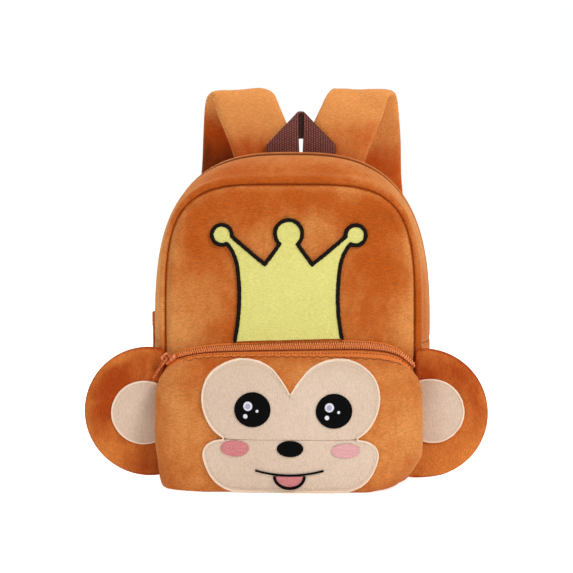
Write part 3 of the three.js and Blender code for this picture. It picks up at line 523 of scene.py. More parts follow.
def select_sharp(piece, sharpness):
    """Opens one object in edit mode with the edges selected that are sharper than an angle in degrees."""
    edit(piece, "EDGE")
    bpy.ops.mesh.select_all(action="DESELECT")
    bpy.ops.mesh.edges_select_sharp(sharpness=math.radians(sharpness))


print("choosing helpers ready")

# %% Modifiers and edges
THROUGH_ROUNDS = 4


def apply(piece, kind, **settings):
    """Adds one modifier, sets it and applies it."""
    pick(piece)
    modifier = piece.modifiers.new(kind.title(), kind)
    for setting, value in settings.items():
        setattr(modifier, setting, value)
    bpy.ops.object.modifier_apply(modifier=modifier.name)


def subdivide(piece, levels):
    apply(piece, "SUBSURF", levels=levels, render_levels=levels)


def subdivide_through(piece, levels):
    """Subdivides a piece so that its new surface passes through its old points, and doesn't shrink."""
    wanted = points_of(piece)
    modifier = piece.modifiers.new("Preview", "SUBSURF")
    modifier.levels = modifier.render_levels = levels
    for _ in range(THROUGH_ROUNDS):
        shown = piece.evaluated_get(bpy.context.evaluated_depsgraph_get())
        miss = wanted - points_of(shown)[:len(wanted)]
        move_points(piece, points_of(piece) + miss)
    pick(piece)
    bpy.ops.object.modifier_apply(modifier=modifier.name)


def refine(piece, sharpness):
    """Subdivides a piece once through its old points. Edges sharper than an angle in degrees stay sharp."""
    select_sharp(piece, sharpness)
    bpy.ops.transform.edge_crease(value=1)
    close()
    subdivide_through(piece, 1)
    edit(piece, "EDGE")
    bpy.ops.transform.edge_crease(value=-1)
    close()


def turn_edges(piece, width, sharpness, segments=2):
    """Bevels the edges that are sharper than an angle in degrees."""
    select_sharp(piece, sharpness)
    bpy.ops.mesh.bevel(offset=width * MM, segments=segments, affect="EDGES")
    close()


print("modifier helpers ready")

# %% [markdown]
# ## Sewing a piece from its solid
# Each cloth piece starts as a copy of its plain solid. The copy's triangles are merged and paired into
# squares, its sharp cut edges are bevelled so that the cloth turns softly, and subdivision rounds the rest.
# A shallow cloud displacement then takes away the machine-flat look.

# %% Cloth from a solid
MERGE = 0.02
SQUARE = {"face_threshold": math.radians(60), "shape_threshold": math.radians(80)}
CLOUDS = bpy.data.textures.new("soft unevenness", "CLOUDS")
CLOUDS.noise_scale = 0.045
CLOUDS.noise_depth = 1
pieces = {}


def copy_of(node, name):
    """A new object with a merged copy of a solid's mesh, in squares."""
    piece = bpy.data.objects.new(name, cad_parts[node].data.copy())
    bpy.context.collection.objects.link(piece)
    piece.data.materials.clear()
    edit(piece)
    bpy.ops.mesh.remove_doubles(threshold=MERGE * MM)
    bpy.ops.mesh.customdata_custom_splitnormals_clear()
    bpy.ops.mesh.tris_convert_to_quads(**SQUARE)
    close()
    return piece


def unevenness(piece, height):
    apply(piece, "DISPLACE", texture=CLOUDS, texture_coords="LOCAL", strength=height * MM, mid_level=0.5)


def sew(piece, finish, nodes, body="bag", angle=None):
    """Gives a finished piece its material and its place in the model. What would sink into the table lies
    on it."""
    points = points_of(piece)
    points[:, 2] = np.maximum(points[:, 2], 0)
    move_points(piece, points)
    pick(piece)
    if angle is None:
        bpy.ops.object.shade_smooth()
    else:
        bpy.ops.object.shade_smooth_by_angle(angle=math.radians(angle))
    piece.data.materials.clear()
    piece.data.materials.append(finishes[finish])
    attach(piece, body)
    if nodes:
        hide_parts(*nodes)
    pieces[piece.name] = piece
    print(piece.name, "triangles:", sum(len(face.vertices) - 2 for face in piece.data.polygons))


print("sewing helpers ready")

# %% [markdown]
# ## Padding by simulation
# Stuffed cloth isn't a smooth bulge: it is held at its seams, cut a little too large and pushed out by what
# is inside. Blender's cloth does the same. The seam points are pinned, the cloth is let out by a small
# share, pressure fills it, and no point may travel further than a cap.

# %% Cloth simulation
CLOTH = {"frames": 20, "quality": 6, "mass": 0.25}


def fill_out(piece, pinned, pressure, slack, cap):
    """Inflates a piece that is held at its pinned points, and applies the result."""
    pick(piece)
    before = points_of(piece)
    seam = piece.vertex_groups.new(name="seam")
    seam.add(np.flatnonzero(pinned).tolist(), 1.0, "REPLACE")
    modifier = piece.modifiers.new("Cloth", "CLOTH")
    cloth = modifier.settings
    cloth.quality = CLOTH["quality"]
    cloth.mass = CLOTH["mass"]
    cloth.vertex_group_mass = seam.name
    cloth.use_pressure = True
    cloth.uniform_pressure_force = pressure
    cloth.shrink_min = -slack
    cloth.effector_weights.gravity = 0
    for step in range(1, CLOTH["frames"] + 1):
        bpy.context.scene.frame_set(step)
    bpy.ops.object.modifier_apply(modifier=modifier.name)
    moved = points_of(piece) - before
    length = np.linalg.norm(moved, axis=1, keepdims=True)
    move_points(piece, before + moved * np.minimum(1, cap * MM / np.maximum(length, 1e-9)))
    piece.vertex_groups.clear()
    bpy.context.scene.frame_set(1)
    print(piece.name, "largest move:", round(float(length.max()) / MM, 2), "mm")


def border_points(piece):
    """True for each point on an open edge of a sheet."""
    uses = Counter(key for face in piece.data.polygons for key in face.edge_keys)
    on_border = np.zeros(len(piece.data.vertices), bool)
    on_border[[point for key, count in uses.items() if count == 1 for point in key]] = True
    return on_border


print("simulation ready")

# %% [markdown]
# ## Seams, nap strokes and painted light
# At a seam the cloth rolls in, and a soft dark line of painted shade is laid along it. Beside some seams a
# softer band of painted shade lies, and beside others a band is lightened as a painted highlight. Plush also
# keeps the marks of hands: lighter and darker strokes. On the ears and the straps the strokes also paint
# light and shade, and the left strap's rear leg gets a painted shadow. A painted image could hold all of it,
# but it would need a file and a UV map. So it is written into the points, as one attribute that the nap's
# shader reads.

# %% Seam lines
def run_along(line):
    """How far along a line each of its points lies."""
    return np.concatenate([[0], np.cumsum(np.linalg.norm(np.diff(line, axis=0), axis=1))])


def rows_at(stops, run, rows):
    """The rows' values at some distances along their run."""
    return np.stack([np.interp(stops, run, column) for column in np.asarray(rows, float).T], axis=-1)


def seam_line_of(points, step):
    """A closed seam's points put in order round it and set one step apart."""
    centre = points.mean(axis=0)
    ring = points[np.argsort(np.arctan2(points[:, 2] - centre[2], points[:, 0] - centre[0]))]
    ring = np.vstack([ring, ring[:1]])
    run = run_along(ring)
    return rows_at(np.arange(0, run[-1], step * MM), run, ring)


def distance_to(seam, points):
    """How far each point lies from the nearest point of a seam, in millimetres."""
    line = KDTree(len(seam))
    for number, spot in enumerate(seam):
        line.insert(spot, number)
    line.balance()
    return np.array([line.find(point)[2] for point in points]) / MM


def roll_in(piece, seam, depth, reach):
    """Pulls a piece back near a seam, so that its cloth rolls into the seam."""
    share = np.maximum(0, 1 - distance_to(seam, points_of(piece)) / reach)
    shift(piece, y=depth * share**2)


print("seam helpers ready")

# %% Nap strokes and painted light
# Painted shade along a seam: dark over a narrow width, and softer over a wider one beside it.
SEAM_SHADE = {"amount": 1.0, "width": 2.8, "shade_width": 9}


def paint_nap_and_light(piece, strokes, seam=None, shade=0.0, rear=None):
    """Writes how the nap lies and where light and shade are painted: strokes of (x, z, half width, half
    height, amount), painted shade at a seam with a softer painted shade beside it, lighter instead where
    that shade is below zero, and a painted shadow on what faces the front behind a row of the depth."""
    x, y, z = axes_of(piece)
    lie_and_light = np.zeros(len(x))
    for middle, height, half_width, half_height, amount in strokes:
        lie_and_light += amount * np.exp(-((x - middle) / half_width) ** 2 - ((z - height) / half_height) ** 2)
    if seam is not None:
        far = distance_to(seam, points_of(piece))
        lie_and_light -= SEAM_SHADE["amount"] * np.maximum(0, 1 - far / SEAM_SHADE["width"])
        lie_and_light -= shade * np.maximum(0, 1 - far / SEAM_SHADE["shade_width"])
    if rear:
        facing = -2 * np.array([vertex.normal.y for vertex in piece.data.vertices])
        lie_and_light -= rear["amount"] * np.clip(facing, 0, 1) * np.clip((y - rear["row"]) / rear["fade"], 0, 1)
    piece.data.attributes.new(NAP_AND_PAINTED_LIGHT, "FLOAT", "POINT").data.foreach_set("value", lie_and_light)


print("nap ready, pressed at seams by", SEAM_SHADE["width"], "mm")

# %% [markdown]
# ## Front panel
# The front panel is a sheet of plush that is held all round by a seam. Only the outer face of its solid is
# kept, filled out by simulation, and then given the thickness of the cloth again.

# %% Front panel
PLUSH = 2.5
CUT_EDGE = {"width": 0.9, "sharpness": 60}
FRONT_FILL = {"pressure": 3.0, "slack": 0.006, "cap": 2.2}
FRONT_FACING = -0.4
FRONT_EDGE_LIGHT = -0.35
SEAM_STEP = 0.6
SEAM_ROLL = {"depth": 5.0, "panel_reach": 7, "gusset_reach": 4.0}
FRONT_STROKES = [
    (-80, 130, 22, 36, 0.36), (-70, 172, 26, 28, -0.5), (-5, 216, 70, 13, -0.15), (68, 176, 24, 34, -0.42),
    (88, 132, 12, 26, 0.4), (-30, 205, 18, 12, -0.15), (70, 208, 22, 14, -0.6), (-86, 180, 9, 26, 0.35),
]

front = copy_of("front_panel", "front_plush")
keep_faces(front, lambda face: face.normal.y < FRONT_FACING)
subdivide_through(front, 2)
fill_out(front, border_points(front), **FRONT_FILL)
front_seam = seam_line_of(points_of(front)[border_points(front)], SEAM_STEP)
apply(front, "SOLIDIFY", thickness=PLUSH * MM, offset=-1)
turn_edges(front, **CUT_EDGE, segments=3)
subdivide(front, 1)
unevenness(front, height=1.2)
# A line of painted shade follows the seam where the cloth rolls in.
seam_shade_line = front_seam + np.array([0, SEAM_ROLL["depth"] * MM, 0])
roll_in(front, front_seam, SEAM_ROLL["depth"], SEAM_ROLL["panel_reach"])
# The panel's edge beside the seam is lightened: a painted highlight.
paint_nap_and_light(front, FRONT_STROKES, seam_shade_line, FRONT_EDGE_LIGHT)
sew(front, "orange plush", ["front_panel"])

# %% [markdown]
# ## Pocket
# The pocket is a deeper sheet, made in the same way. It stands on the table, so its weight lowers the
# underside, and its upper edge puckers where it is sewn to the stiffer zip tape. A simulation could do that
# too, but moving the points by a rule is quicker and easier to steer.

# %% Settling cloth
SETTLE = {"drop": 4.5, "reach": 22, "most": 0.8}
TUCK = {"x": 62, "width": 30, "height": 26, "in": 9, "up": 3}
HEEL = {"x": -30, "width": 30, "height": 14, "full": 1.4, "most": 0.9}
PUCKER = {"height": 0.9, "start": -200, "pitch": 8.5, "reach": 10, "drift": 1.4, "drift_turns": 0.06}


def settle(piece):
    """Lowers a piece where its front rounds into its underside, tucks its right corner in and lowers its
    left one."""
    x, _, z = axes_of(piece)
    low = np.clip(1 - z / SETTLE["reach"], 0, 1)
    lowered = z - np.minimum(SETTLE["drop"] * low * 4 * (1 - low), z * SETTLE["most"])
    corner = np.clip((x - TUCK["x"]) / TUCK["width"], 0, 1) * np.clip(1 - lowered / TUCK["height"], 0, 1)
    tucked = x - TUCK["in"] * corner
    lowered = lowered + TUCK["up"] * corner
    left = np.clip((HEEL["x"] - tucked) / HEEL["width"], 0, 1)
    heel = left * np.clip(HEEL["full"] - lowered / HEEL["height"], 0, 1)
    shift(piece, x=tucked - x, z=lowered * (1 - HEEL["most"] * heel) - z)


def pucker(piece):
    """Gathers a panel's upper edge into small waves, as cloth does where it is sewn to a stiffer tape."""
    x, _, z = points_of(piece).T / MM
    columns = np.round((x - PUCKER["start"]) / PUCKER["pitch"]).astype(int)
    tops = {column: z[columns == column].max() for column in set(columns)}
    share = np.maximum(0, 1 - (np.array([tops[column] for column in columns]) - z) / PUCKER["reach"])
    wave = np.sin(2 * math.pi * x / PUCKER["pitch"] + PUCKER["drift"] * np.sin(PUCKER["drift_turns"] * x))
    shift(piece, y=-PUCKER["height"] * share * wave)


print("underside settles by", SETTLE["drop"], "mm")

# %% Pocket
POCKET_MIDDLE = at(0, -20, 48)
POCKET_FACING = 0.8
POCKET_FILL = {"pressure": 3.0, "slack": 0.012, "cap": 2.6}
POCKET_STROKES = [
    (-85, 50, 22, 44, 0.42), (92, 55, 14, 30, 0.12), (80, 85, 22, 10, -0.25), (-45, 92, 30, 8, -0.05),
    (82, 20, 16, 12, 0.2), (80, 88, 24, 12, 0.4), (0, 90, 30, 10, 0.1),
]


def outside_of_pocket(face):
    return face.normal.dot(face.center - POCKET_MIDDLE) > 0 and face.normal.y < POCKET_FACING


pocket = copy_of("pocket_panel", "pocket_plush")
keep_faces(pocket, outside_of_pocket)
subdivide_through(pocket, 1)
fill_out(pocket, border_points(pocket), **POCKET_FILL)
apply(pocket, "SOLIDIFY", thickness=PLUSH * MM, offset=-1)
turn_edges(pocket, **CUT_EDGE)
subdivide(pocket, 1)
unevenness(pocket, height=1.0)
settle(pocket)
pucker(pocket)
paint_nap_and_light(pocket, POCKET_STROKES)
sew(pocket, "orange plush", ["pocket_panel"])

# %% [markdown]
# ## Gusset and back
# The gusset is the long strip that runs round the bag between front and back. It is in three parts: two
# above, with the main zip between them, and one round the base. Beside the front seam each strip swells
# into a roll, and beside the zip its turned hem is thicker. The back is one flat padded panel.

# %% Rolls and hems
STRIP_AXIS = 110


def swell(piece, height):
    """Raises the outer side of a strip along its normals, by each point's own millimetres."""
    normals = np.array([vertex.normal for vertex in piece.data.vertices])
    from_axis = points_of(piece) - np.array(at(0, 0, STRIP_AXIS))
    outer = normals[:, 0] * from_axis[:, 0] + normals[:, 2] * from_axis[:, 2] > 0
    shift(piece, *(normals.T * outer * height))


def roll_over(piece, seam, height, middle):
    """Swells a strip into a roll beside a seam, highest at a distance from it."""
    turns = np.clip(distance_to(seam, points_of(piece)) / middle, 0, 2)
    swell(piece, height * np.sin(turns * math.pi / 2) ** 2)


def puff(piece, row, reach, height):
    """Swells a strip near one row of the bag's depth."""
    share = np.maximum(0, 1 - np.abs(axes_of(piece)[1] - row) / reach)
    swell(piece, height * share**2)


print("strips swell away from a height of", STRIP_AXIS, "mm")

# %% Gusset and back panel
# The rear strip's lip gets a thin line of painted shade, in the gap behind the main zip.
REAR_LIP = {"row": 36, "width": 0.8}
GUSSET_ROLL = {"height": 3.2, "middle": 6.5}
# Painted shade on the strips beside the front seam.
GUSSET_SHADE = 0.32
# The strokes lighten the left side and darken the top and the right side above the ear.
GUSSET_STROKES = [(0, 240, 120, 10, -0.15), (-100, 160, 14, 60, 0.55), (104, 120, 12, 14, -0.3)]
HEMS = {
    "gusset_front": [{"row": 28, "reach": 4, "height": -1.4}],
    "gusset_rear": [{"row": 43, "reach": 12, "height": 2.4}, {"row": 36, "reach": 3.5, "height": -1.2}],
    "gusset_base": [],
}

for node, hems in HEMS.items():
    strip = copy_of(node, f"{node}_plush")
    refine(strip, CUT_EDGE["sharpness"])
    turn_edges(strip, **CUT_EDGE)
    subdivide(strip, 1)
    lips = points_of(strip)[np.abs(axes_of(strip)[1] - REAR_LIP["row"]) < REAR_LIP["width"]]
    roll_over(strip, front_seam, **GUSSET_ROLL)
    roll_in(strip, front_seam, SEAM_ROLL["depth"], SEAM_ROLL["gusset_reach"])
    for hem in hems:
        puff(strip, **hem)
    paint_nap_and_light(strip, GUSSET_STROKES, lips if node == "gusset_rear" else seam_shade_line, GUSSET_SHADE)
    sew(strip, "orange plush", [node])

back = copy_of("back_panel", "back_plush")
turn_edges(back, width=1.4, sharpness=CUT_EDGE["sharpness"], segments=3)
subdivide(back, 2)
sew(back, "orange plush", ["back_panel"])

# %% [markdown]
# ## Ears and straps
# An ear is two discs of plush sewn at the rim and stuffed, so it is held at its rim and filled by
# simulation. A strap is a flat pad. Its solid is rounded and left a little uneven, which is enough, because
# a pad that is held along both edges hardly swells.

# %% Ears
EAR_SHARP = 50
EAR_ROW = -11.05
EAR_RIM = 1.5
# The rim seam gets a thin line of painted shade, and the band just inside it a painted highlight.
EAR_RIM_LIGHT = -0.3
EAR_CORNER = {"x": 116, "width": 16, "z": 27, "height": 16, "in": 6}
EAR_FILL = {"pressure": 5.0, "slack": 0.02, "cap": 2.4}
# Lighter and darker patches, partly painted light and shade on the puffed ear.
EAR_STROKES = [
    (-131, 83, 12, 13, -0.6), (-141, 72, 9, 12, -0.4), (-142, 97, 16, 10, 0.35), (-127, 24, 24, 12, 0.4),
    (-144, 48, 10, 16, -0.25), (134, 90, 20, 14, -0.5), (108, 98, 14, 10, 0.2), (140, 22, 22, 14, 0.35),
    (146, 58, 8, 20, -0.1),
]


def close_corner(piece):
    """Draws the right ear's lower inner corner towards the bag, so that it goes in behind the pocket."""
    x, _, z = axes_of(piece)
    beside = np.clip((EAR_CORNER["x"] - x) / EAR_CORNER["width"], 0, 1)
    below = np.clip((EAR_CORNER["z"] - z) / EAR_CORNER["height"], 0, 1)
    shift(piece, x=-EAR_CORNER["in"] * beside * below)


for side in ("left", "right"):
    ear = copy_of(f"ear_{side}", f"ear_{side}_plush")
    refine(ear, EAR_SHARP)
    rim = np.abs(axes_of(ear)[1] - EAR_ROW) < EAR_RIM
    fill_out(ear, rim, **EAR_FILL)
    rim_seam = seam_line_of(points_of(ear)[rim], SEAM_STEP)
    subdivide(ear, 1)
    if side == "right":
        close_corner(ear)
    paint_nap_and_light(ear, EAR_STROKES, rim_seam, EAR_RIM_LIGHT)
    sew(ear, "ear plush", [f"ear_{side}"])

# %% Straps
STRAP_EDGE = {"width": 0.8, "sharpness": 70}
# A painted highlight on the lit tops of the straps, and a slight painted shade lower down.
STRAP_STROKES = [(0, 298, 200, 25, 0.85), (0, 244, 200, 14, -0.1)]
STRAP_TURN = {"foot": 268, "reach": 22}
STRAP_LEVEL = {
    "left": [(-64, 0.8), (-36, 1.0), (-27, 0), (-19, -1.8)],
    "right": [(33.5, -2), (46, 0), (59, 2.5), (69, 2.8), (78.5, 3.5)],
}
# The left strap's rear leg is darkened on its front-facing side behind the front band: painted shadow.
STRAP_PAINTED_SHADOW = {"left": {"row": 86, "fade": 8, "amount": 1.0}, "right": None}


def level(piece, heights):
    """Raises or lowers the top of a strap at places across it, because a filled pad doesn't turn evenly."""
    x, _, z = axes_of(piece)
    share = np.clip((z - STRAP_TURN["foot"]) / STRAP_TURN["reach"], 0, 1)
    shift(piece, z=np.interp(x, *zip(*heights)) * share)


for side in ("left", "right"):
    strap = copy_of(f"strap_{side}", f"strap_{side}_plush")
    refine(strap, STRAP_EDGE["sharpness"])
    turn_edges(strap, **STRAP_EDGE)
    subdivide(strap, 1)
    unevenness(strap, height=1.0)
    level(strap, STRAP_LEVEL[side])
    paint_nap_and_light(strap, STRAP_STROKES, rear=STRAP_PAINTED_SHADOW[side])
    sew(strap, "strap plush", [f"strap_{side}"])

# %% [markdown]
# ## Patches
# The crown, the face and the inner ears are patches of cloth sewn on flat. Each is drawn as an outline,
# filled, cut into a grid by bisecting it, laid on the piece below with Shrinkwrap, and given a thickness.
# A stitched border is a band between two outlines, bridged and laid in the same way.

# %% Drawing outlines
def ellipse(x, z, half_width, half_height, count=48):
    turns = np.arange(count) * 2 * math.pi / count
    return [(x + half_width * math.cos(turn), z + half_height * math.sin(turn)) for turn in turns]


def arc(ball, start, end, count):
    """Points round a ball (x, z, radius) between two angles in degrees."""
    x, z, radius = ball
    turns = np.radians(np.linspace(start, end, count))
    return [(x + radius * math.cos(turn), z + radius * math.sin(turn)) for turn in turns]


def bend(first, middle, last, count=8):
    """Points on a curve from the first to the last that is pulled towards the middle one."""
    a, b, c = (np.array(point, float) for point in (first, middle, last))
    return [tuple((1 - t) ** 2 * a + 2 * t * (1 - t) * b + t**2 * c) for t in np.arange(count) / count]


def smooth(points, steps):
    """A soft curve through the points, with a number of steps between each two."""
    ends = [points[0], *points, points[-1]]
    line = []
    for corners in zip(ends, ends[1:], ends[2:], ends[3:]):
        a, b, c, d = (np.array(corner, float) for corner in corners)
        for t in np.arange(steps) / steps:
            cubic = (3 * b - a - 3 * c + d) * t**3
            line.append(tuple(0.5 * (2 * b + (c - a) * t + (2 * a - 5 * b + 4 * c - d) * t**2 + cubic)))
    return [*line, tuple(points[-1])]


def both_halves(half):
    """A closed outline from its right half, drawn from the bottom middle to the top middle."""
    return [*half, *[(-x, z) for x, z in reversed(half[1:-1])]]


def even(outline, pitch):
    """The outline with its points spaced evenly, about one pitch apart."""
    closed = [*outline, outline[0]]
    run = run_along(closed)
    stops = np.linspace(0, run[-1], round(run[-1] / pitch), endpoint=False)
    return [tuple(point) for point in rows_at(stops, run, closed)]


print("outline helpers ready")

# %% Growing outlines
CORNER_ROUNDS = 12
CORNER_NEAR = 0.97
dice = np.random.default_rng(7)


def grown(outline, amount):
    """The outline moved outwards along its normals. In a sharp valley its points are kept apart from the
    outline."""
    points = np.array(outline, float)
    before, after = np.roll(points, 1, axis=0), np.roll(points, -1, axis=0)
    tangent = after - before
    tangent /= np.linalg.norm(tangent, axis=1, keepdims=True)
    area = np.sum(points[:, 0] * after[:, 1] - after[:, 0] * points[:, 1])
    normal = np.stack([tangent[:, 1], -tangent[:, 0]], axis=1) * np.sign(area)
    line = points + normal * amount
    for _ in range(CORNER_ROUNDS if amount > 0 else 0):
        calm = (np.roll(line, 1, axis=0) + np.roll(line, -1, axis=0)) / 2
        for number, spot in enumerate(line):
            away = spot - points
            far = np.linalg.norm(away, axis=1)
            near = int(far.argmin())
            if 1e-6 < far[near] < CORNER_NEAR * amount:
                spot += 0.5 * away[near] * (amount / far[near] - 1) + 0.5 * (calm[number] - spot)
    return [tuple(point) for point in line]


def frayed(outline, amount):
    """The outline with each point moved a little, because stitches never end on one exact line."""
    points = np.array(outline, float)
    return [tuple(point) for point in points + dice.uniform(-amount, amount, points.shape)]


print("growing helpers ready")

# %% Patches and bands
DRAWING_DEPTH = -120
BAND_MERGE = 0.3
BAND_WIDTH = 2.0


def draw_on(piece, outline):
    """Sets a piece's points on an outline in front of the bag."""
    for vertex, (x, z) in zip(piece.data.vertices, outline):
        vertex.co = at(x, DRAWING_DEPTH, z)


def face_viewer(piece):
    """Turns a flat drawn piece towards the front of the bag."""
    if sum(face.normal.y * face.area for face in piece.data.polygons) > 0:
        edit(piece, "FACE")
        bpy.ops.mesh.flip_normals()
        close()


def draw_patch(name, outline, grid):
    """A flat patch with this outline, cut into squares of a grid."""
    patch = fresh(bpy.ops.mesh.primitive_circle_add, vertices=len(outline), fill_type="NGON")
    patch.name = name
    draw_on(patch, outline)
    edit(patch, "FACE")
    for axis, normal in enumerate(((1, 0, 0), (0, 0, 1))):
        spots = [point[axis] for point in outline]
        for spot in np.arange(min(spots) + grid / 2, max(spots), grid):
            bpy.ops.mesh.select_all(action="SELECT")
            bpy.ops.mesh.bisect(plane_co=at(spot * normal[0], 0, spot * normal[2]), plane_no=normal)
    close()
    face_viewer(patch)
    return patch


def draw_band(name, outer, inner):
    """A flat closed band between two outlines with as many points, with UVs along it in metres."""
    count = len(outer)
    band = fresh(bpy.ops.mesh.primitive_circle_add, vertices=count, fill_type="NOTHING")
    band.name = name
    bpy.ops.object.mode_set(mode="EDIT")
    bpy.ops.mesh.primitive_circle_add(vertices=count, fill_type="NOTHING", radius=0.5)
    close()
    draw_on(band, [*outer, *inner])
    edit(band, "EDGE")
    bpy.ops.mesh.bridge_edge_loops()
    close()
    along = run_along([*outer, outer[0]])
    uvs = band.data.uv_layers.new(name="thread")
    for face in band.data.polygons:
        steps = [vertex % count for vertex in face.vertices]
        wraps = 0 in steps and count - 1 in steps
        for loop, vertex in zip(face.loop_indices, face.vertices):
            step = count if wraps and vertex % count == 0 else vertex % count
            uvs.data[loop].uv = (along[step] * MM, (vertex // count) * BAND_WIDTH * MM)
    edit(band)
    bpy.ops.mesh.remove_doubles(threshold=BAND_MERGE * MM)
    close()
    face_viewer(band)
    return band


print("drawing depth:", DRAWING_DEPTH, "mm")

# %% Laying and sewing on
def lay(piece, carrier, top, thickness, rounding=0.0):
    """Lays a drawn piece on another, with its top at a height in millimetres, and gives it a thickness."""
    apply(piece, "SHRINKWRAP", target=carrier, wrap_method="PROJECT", wrap_mode="ABOVE_SURFACE",
          use_project_y=True, use_negative_direction=True, use_positive_direction=True, offset=top * MM)
    apply(piece, "SOLIDIFY", thickness=thickness * MM, offset=-1)
    if rounding:
        turn_edges(piece, rounding, sharpness=50)


def sew_patch(name, outline, carrier, finish, slot, nodes, grid, **layer):
    """Draws a patch, lays it on a piece and sews it there."""
    patch = draw_patch(name, outline, grid)
    lay(patch, carrier, **layer)
    sew(patch, finish, nodes, angle=50)
    return patch


def sew_border(name, outlines, carrier, finish, slot, nodes, kept=None, **layer):
    """Draws a band between two outlines, keeps all or some of its faces, lays it on a piece and sews it."""
    band = draw_band(name, *outlines)
    if kept:
        keep_faces(band, kept)
    lay(band, carrier, **layer)
    sew(band, finish, nodes, angle=60)


print("patch helpers ready")

# %% [markdown]
# ## The pocket's zip
# A coil zip is two rows of nylon loops sewn on two tapes. One loop is modelled by hand and a copy is set at
# each step along the solid's coil, because an array can't follow its bends and lie on its tape as well. The
# stitches beside the loops are set in the same way. Then the zip is drawn up a little towards the right.

# %% Shapes that are repeated
TOOTH = {"size": (0.95, 2.1, 1.5), "bevel": 0.24, "pitch": 1.7, "side": 1.1}
STITCH_ANGLE = 60


def shape_of(piece, size, bevel=0.0):
    """The points and faces of a primitive resized by hand, which is then deleted."""
    edit(piece)
    bpy.ops.transform.resize(value=size)
    if bevel:
        bpy.ops.mesh.bevel(offset=bevel * MM, segments=1, affect="EDGES")
    close()
    points = points_of(piece)
    faces = [list(face.vertices) for face in piece.data.polygons]
    bpy.data.objects.remove(piece)
    return points, faces


def tooth_shape():
    return shape_of(fresh(bpy.ops.mesh.primitive_cube_add, size=MM), TOOTH["size"], TOOTH["bevel"])


def stitch_shape(length, width):
    ball = fresh(bpy.ops.mesh.primitive_uv_sphere_add, segments=6, ring_count=4, radius=MM / 2)
    return shape_of(ball, (length, width, width))


def set_along(name, shape, spots):
    """One object with a copy of a shape at each spot, given as its place, its direction and its outside."""
    points, faces = shape
    all_points, all_faces = [], []
    for place, along, out in spots:
        across = out.cross(along).normalized()
        turn = np.array([along.normalized(), across, along.cross(across).normalized()])
        all_faces += [[corner + len(all_points) for corner in face] for face in faces]
        all_points += [tuple(point) for point in points @ turn + np.array(place)]
    mesh = bpy.data.meshes.new(name)
    mesh.from_pydata(all_points, [], all_faces)
    piece = bpy.data.objects.new(name, mesh)
    bpy.context.collection.objects.link(piece)
    return piece


def sew_stitches(name, spots, finish, length, width, drawn=None):
    """Sets a stitch at each spot, moves them all if a function is given for that, and sews them on."""
    stitches = set_along(name, stitch_shape(length, width), spots)
    if drawn:
        drawn(stitches)
    sew(stitches, finish, [], angle=STITCH_ANGLE)


print("a tooth measures", TOOTH["size"], "mm")

# %% The coil's path
RING_EDGE = 3.2
COIL_TAIL = {"steps": 2, "short": 6.0, "smooth": 8}
COIL_NEAR = 0.5


def rings_of(node):
    """The cross-sections of a strip-like solid, in order from the left, as groups of points."""
    strip = copy_of(node, "path")
    points = points_of(strip)
    owner = list(range(len(points)))

    def find(i):
        while owner[i] != i:
            i = owner[i]
        return i

    for edge in strip.data.edges:
        first, second = edge.vertices
        if np.linalg.norm(points[first] - points[second]) < RING_EDGE * MM:
            owner[find(first)] = find(second)
    groups = {}
    for i in range(len(points)):
        groups.setdefault(find(i), []).append(points[i])
    bpy.data.objects.remove(strip)
    return sorted((np.array(group) for group in groups.values()), key=lambda group: group[:, 0].mean())


def carried_on(rows, ahead):
    """A smooth line through rows, carried on by one row to the slider and by the tail at the other end."""
    rows = list(rows)
    for _ in range(COIL_TAIL["steps"]):
        rows.append(ahead(*rows[:-4:-1]))
    return np.array(smooth([ahead(*rows[:3]), *rows], COIL_TAIL["smooth"]))


def frames_along(rings, pitch):
    """Places one pitch apart along the rings, each with its direction, its side and its outside."""
    centres = carried_on([ring.mean(axis=0) for ring in rings], lambda a, b, c: 3 * a - 3 * b + c)
    widest = [np.linalg.svd(ring - ring.mean(axis=0))[2][0] for ring in rings]
    sides = carried_on([wide * np.sign(wide[2]) for wide in widest], lambda a, b, c: 2 * a - b)
    run = run_along(centres)
    stops = np.arange(pitch * MM / 2, run[-1] - COIL_TAIL["short"] * MM, pitch * MM)
    before, here, after = (rows_at(stops + step * MM, run, centres) for step in (-COIL_NEAR, 0, COIL_NEAR))
    frames = []
    for first, place, last, side in zip(before, here, after, rows_at(stops, run, sides)):
        along = Vector(last - first).normalized()
        side = Vector(side)
        side = (side - along * side.dot(along)).normalized()
        out = side.cross(along)
        frames.append((Vector(place), along, side, -out if out.y > 0 else out))
    return frames


coil_rings = rings_of("pocket_zip_coil")
coil_path = in_bag(np.array([ring.mean(axis=0) for ring in coil_rings]))
print("rings:", len(coil_rings), "from", coil_path[0].round(1), "to", coil_path[-1].round(1))

# %% Tape, teeth and stitches
HARD_EDGE = {"width": 0.25, "sharpness": 60}
HARD_ANGLE = 35
ZIP_RISE = [(-110, 0), (-75, 0), (-40, 1.2), (0, 3.0), (40, 4.0), (70, 4.3), (88, 3), (100, 1.5)]
RISE_MEAN = (-12, -6, 0, 6, 12)
LOWER_TAPE = 6.5
ZIP_ROWS = [
    {"name": "zip_stitches", "finish": "rust thread", "pitch": 2.6, "sides": (3.5, -4.2), "sink": 0.65,
     "length": 1.8, "width": 0.5},
    # The dark rows beside the coil are its stitching, made dark to carry the painted shade along the coil's
    # sides.
    {"name": "coil_thread_and_shade", "finish": "dark rust thread", "pitch": 1.3, "sides": (2.4, -2.4), "sink": 0.3,
     "length": 1.7, "width": 0.75},
]


def draw_up(piece):
    """Moves a piece of the zip up. The tape's lower half is stretched, so that it stays on the pocket."""
    x, _, z = axes_of(piece)
    places, heights = zip(*ZIP_RISE)
    rise = np.mean([np.interp(x + step, places, heights) for step in RISE_MEAN], axis=0)
    middle = np.interp(x, coil_path[:, 0], coil_path[:, 2])
    shift(piece, z=rise * np.clip(1 + (z - middle) / LOWER_TAPE, 0, 1))


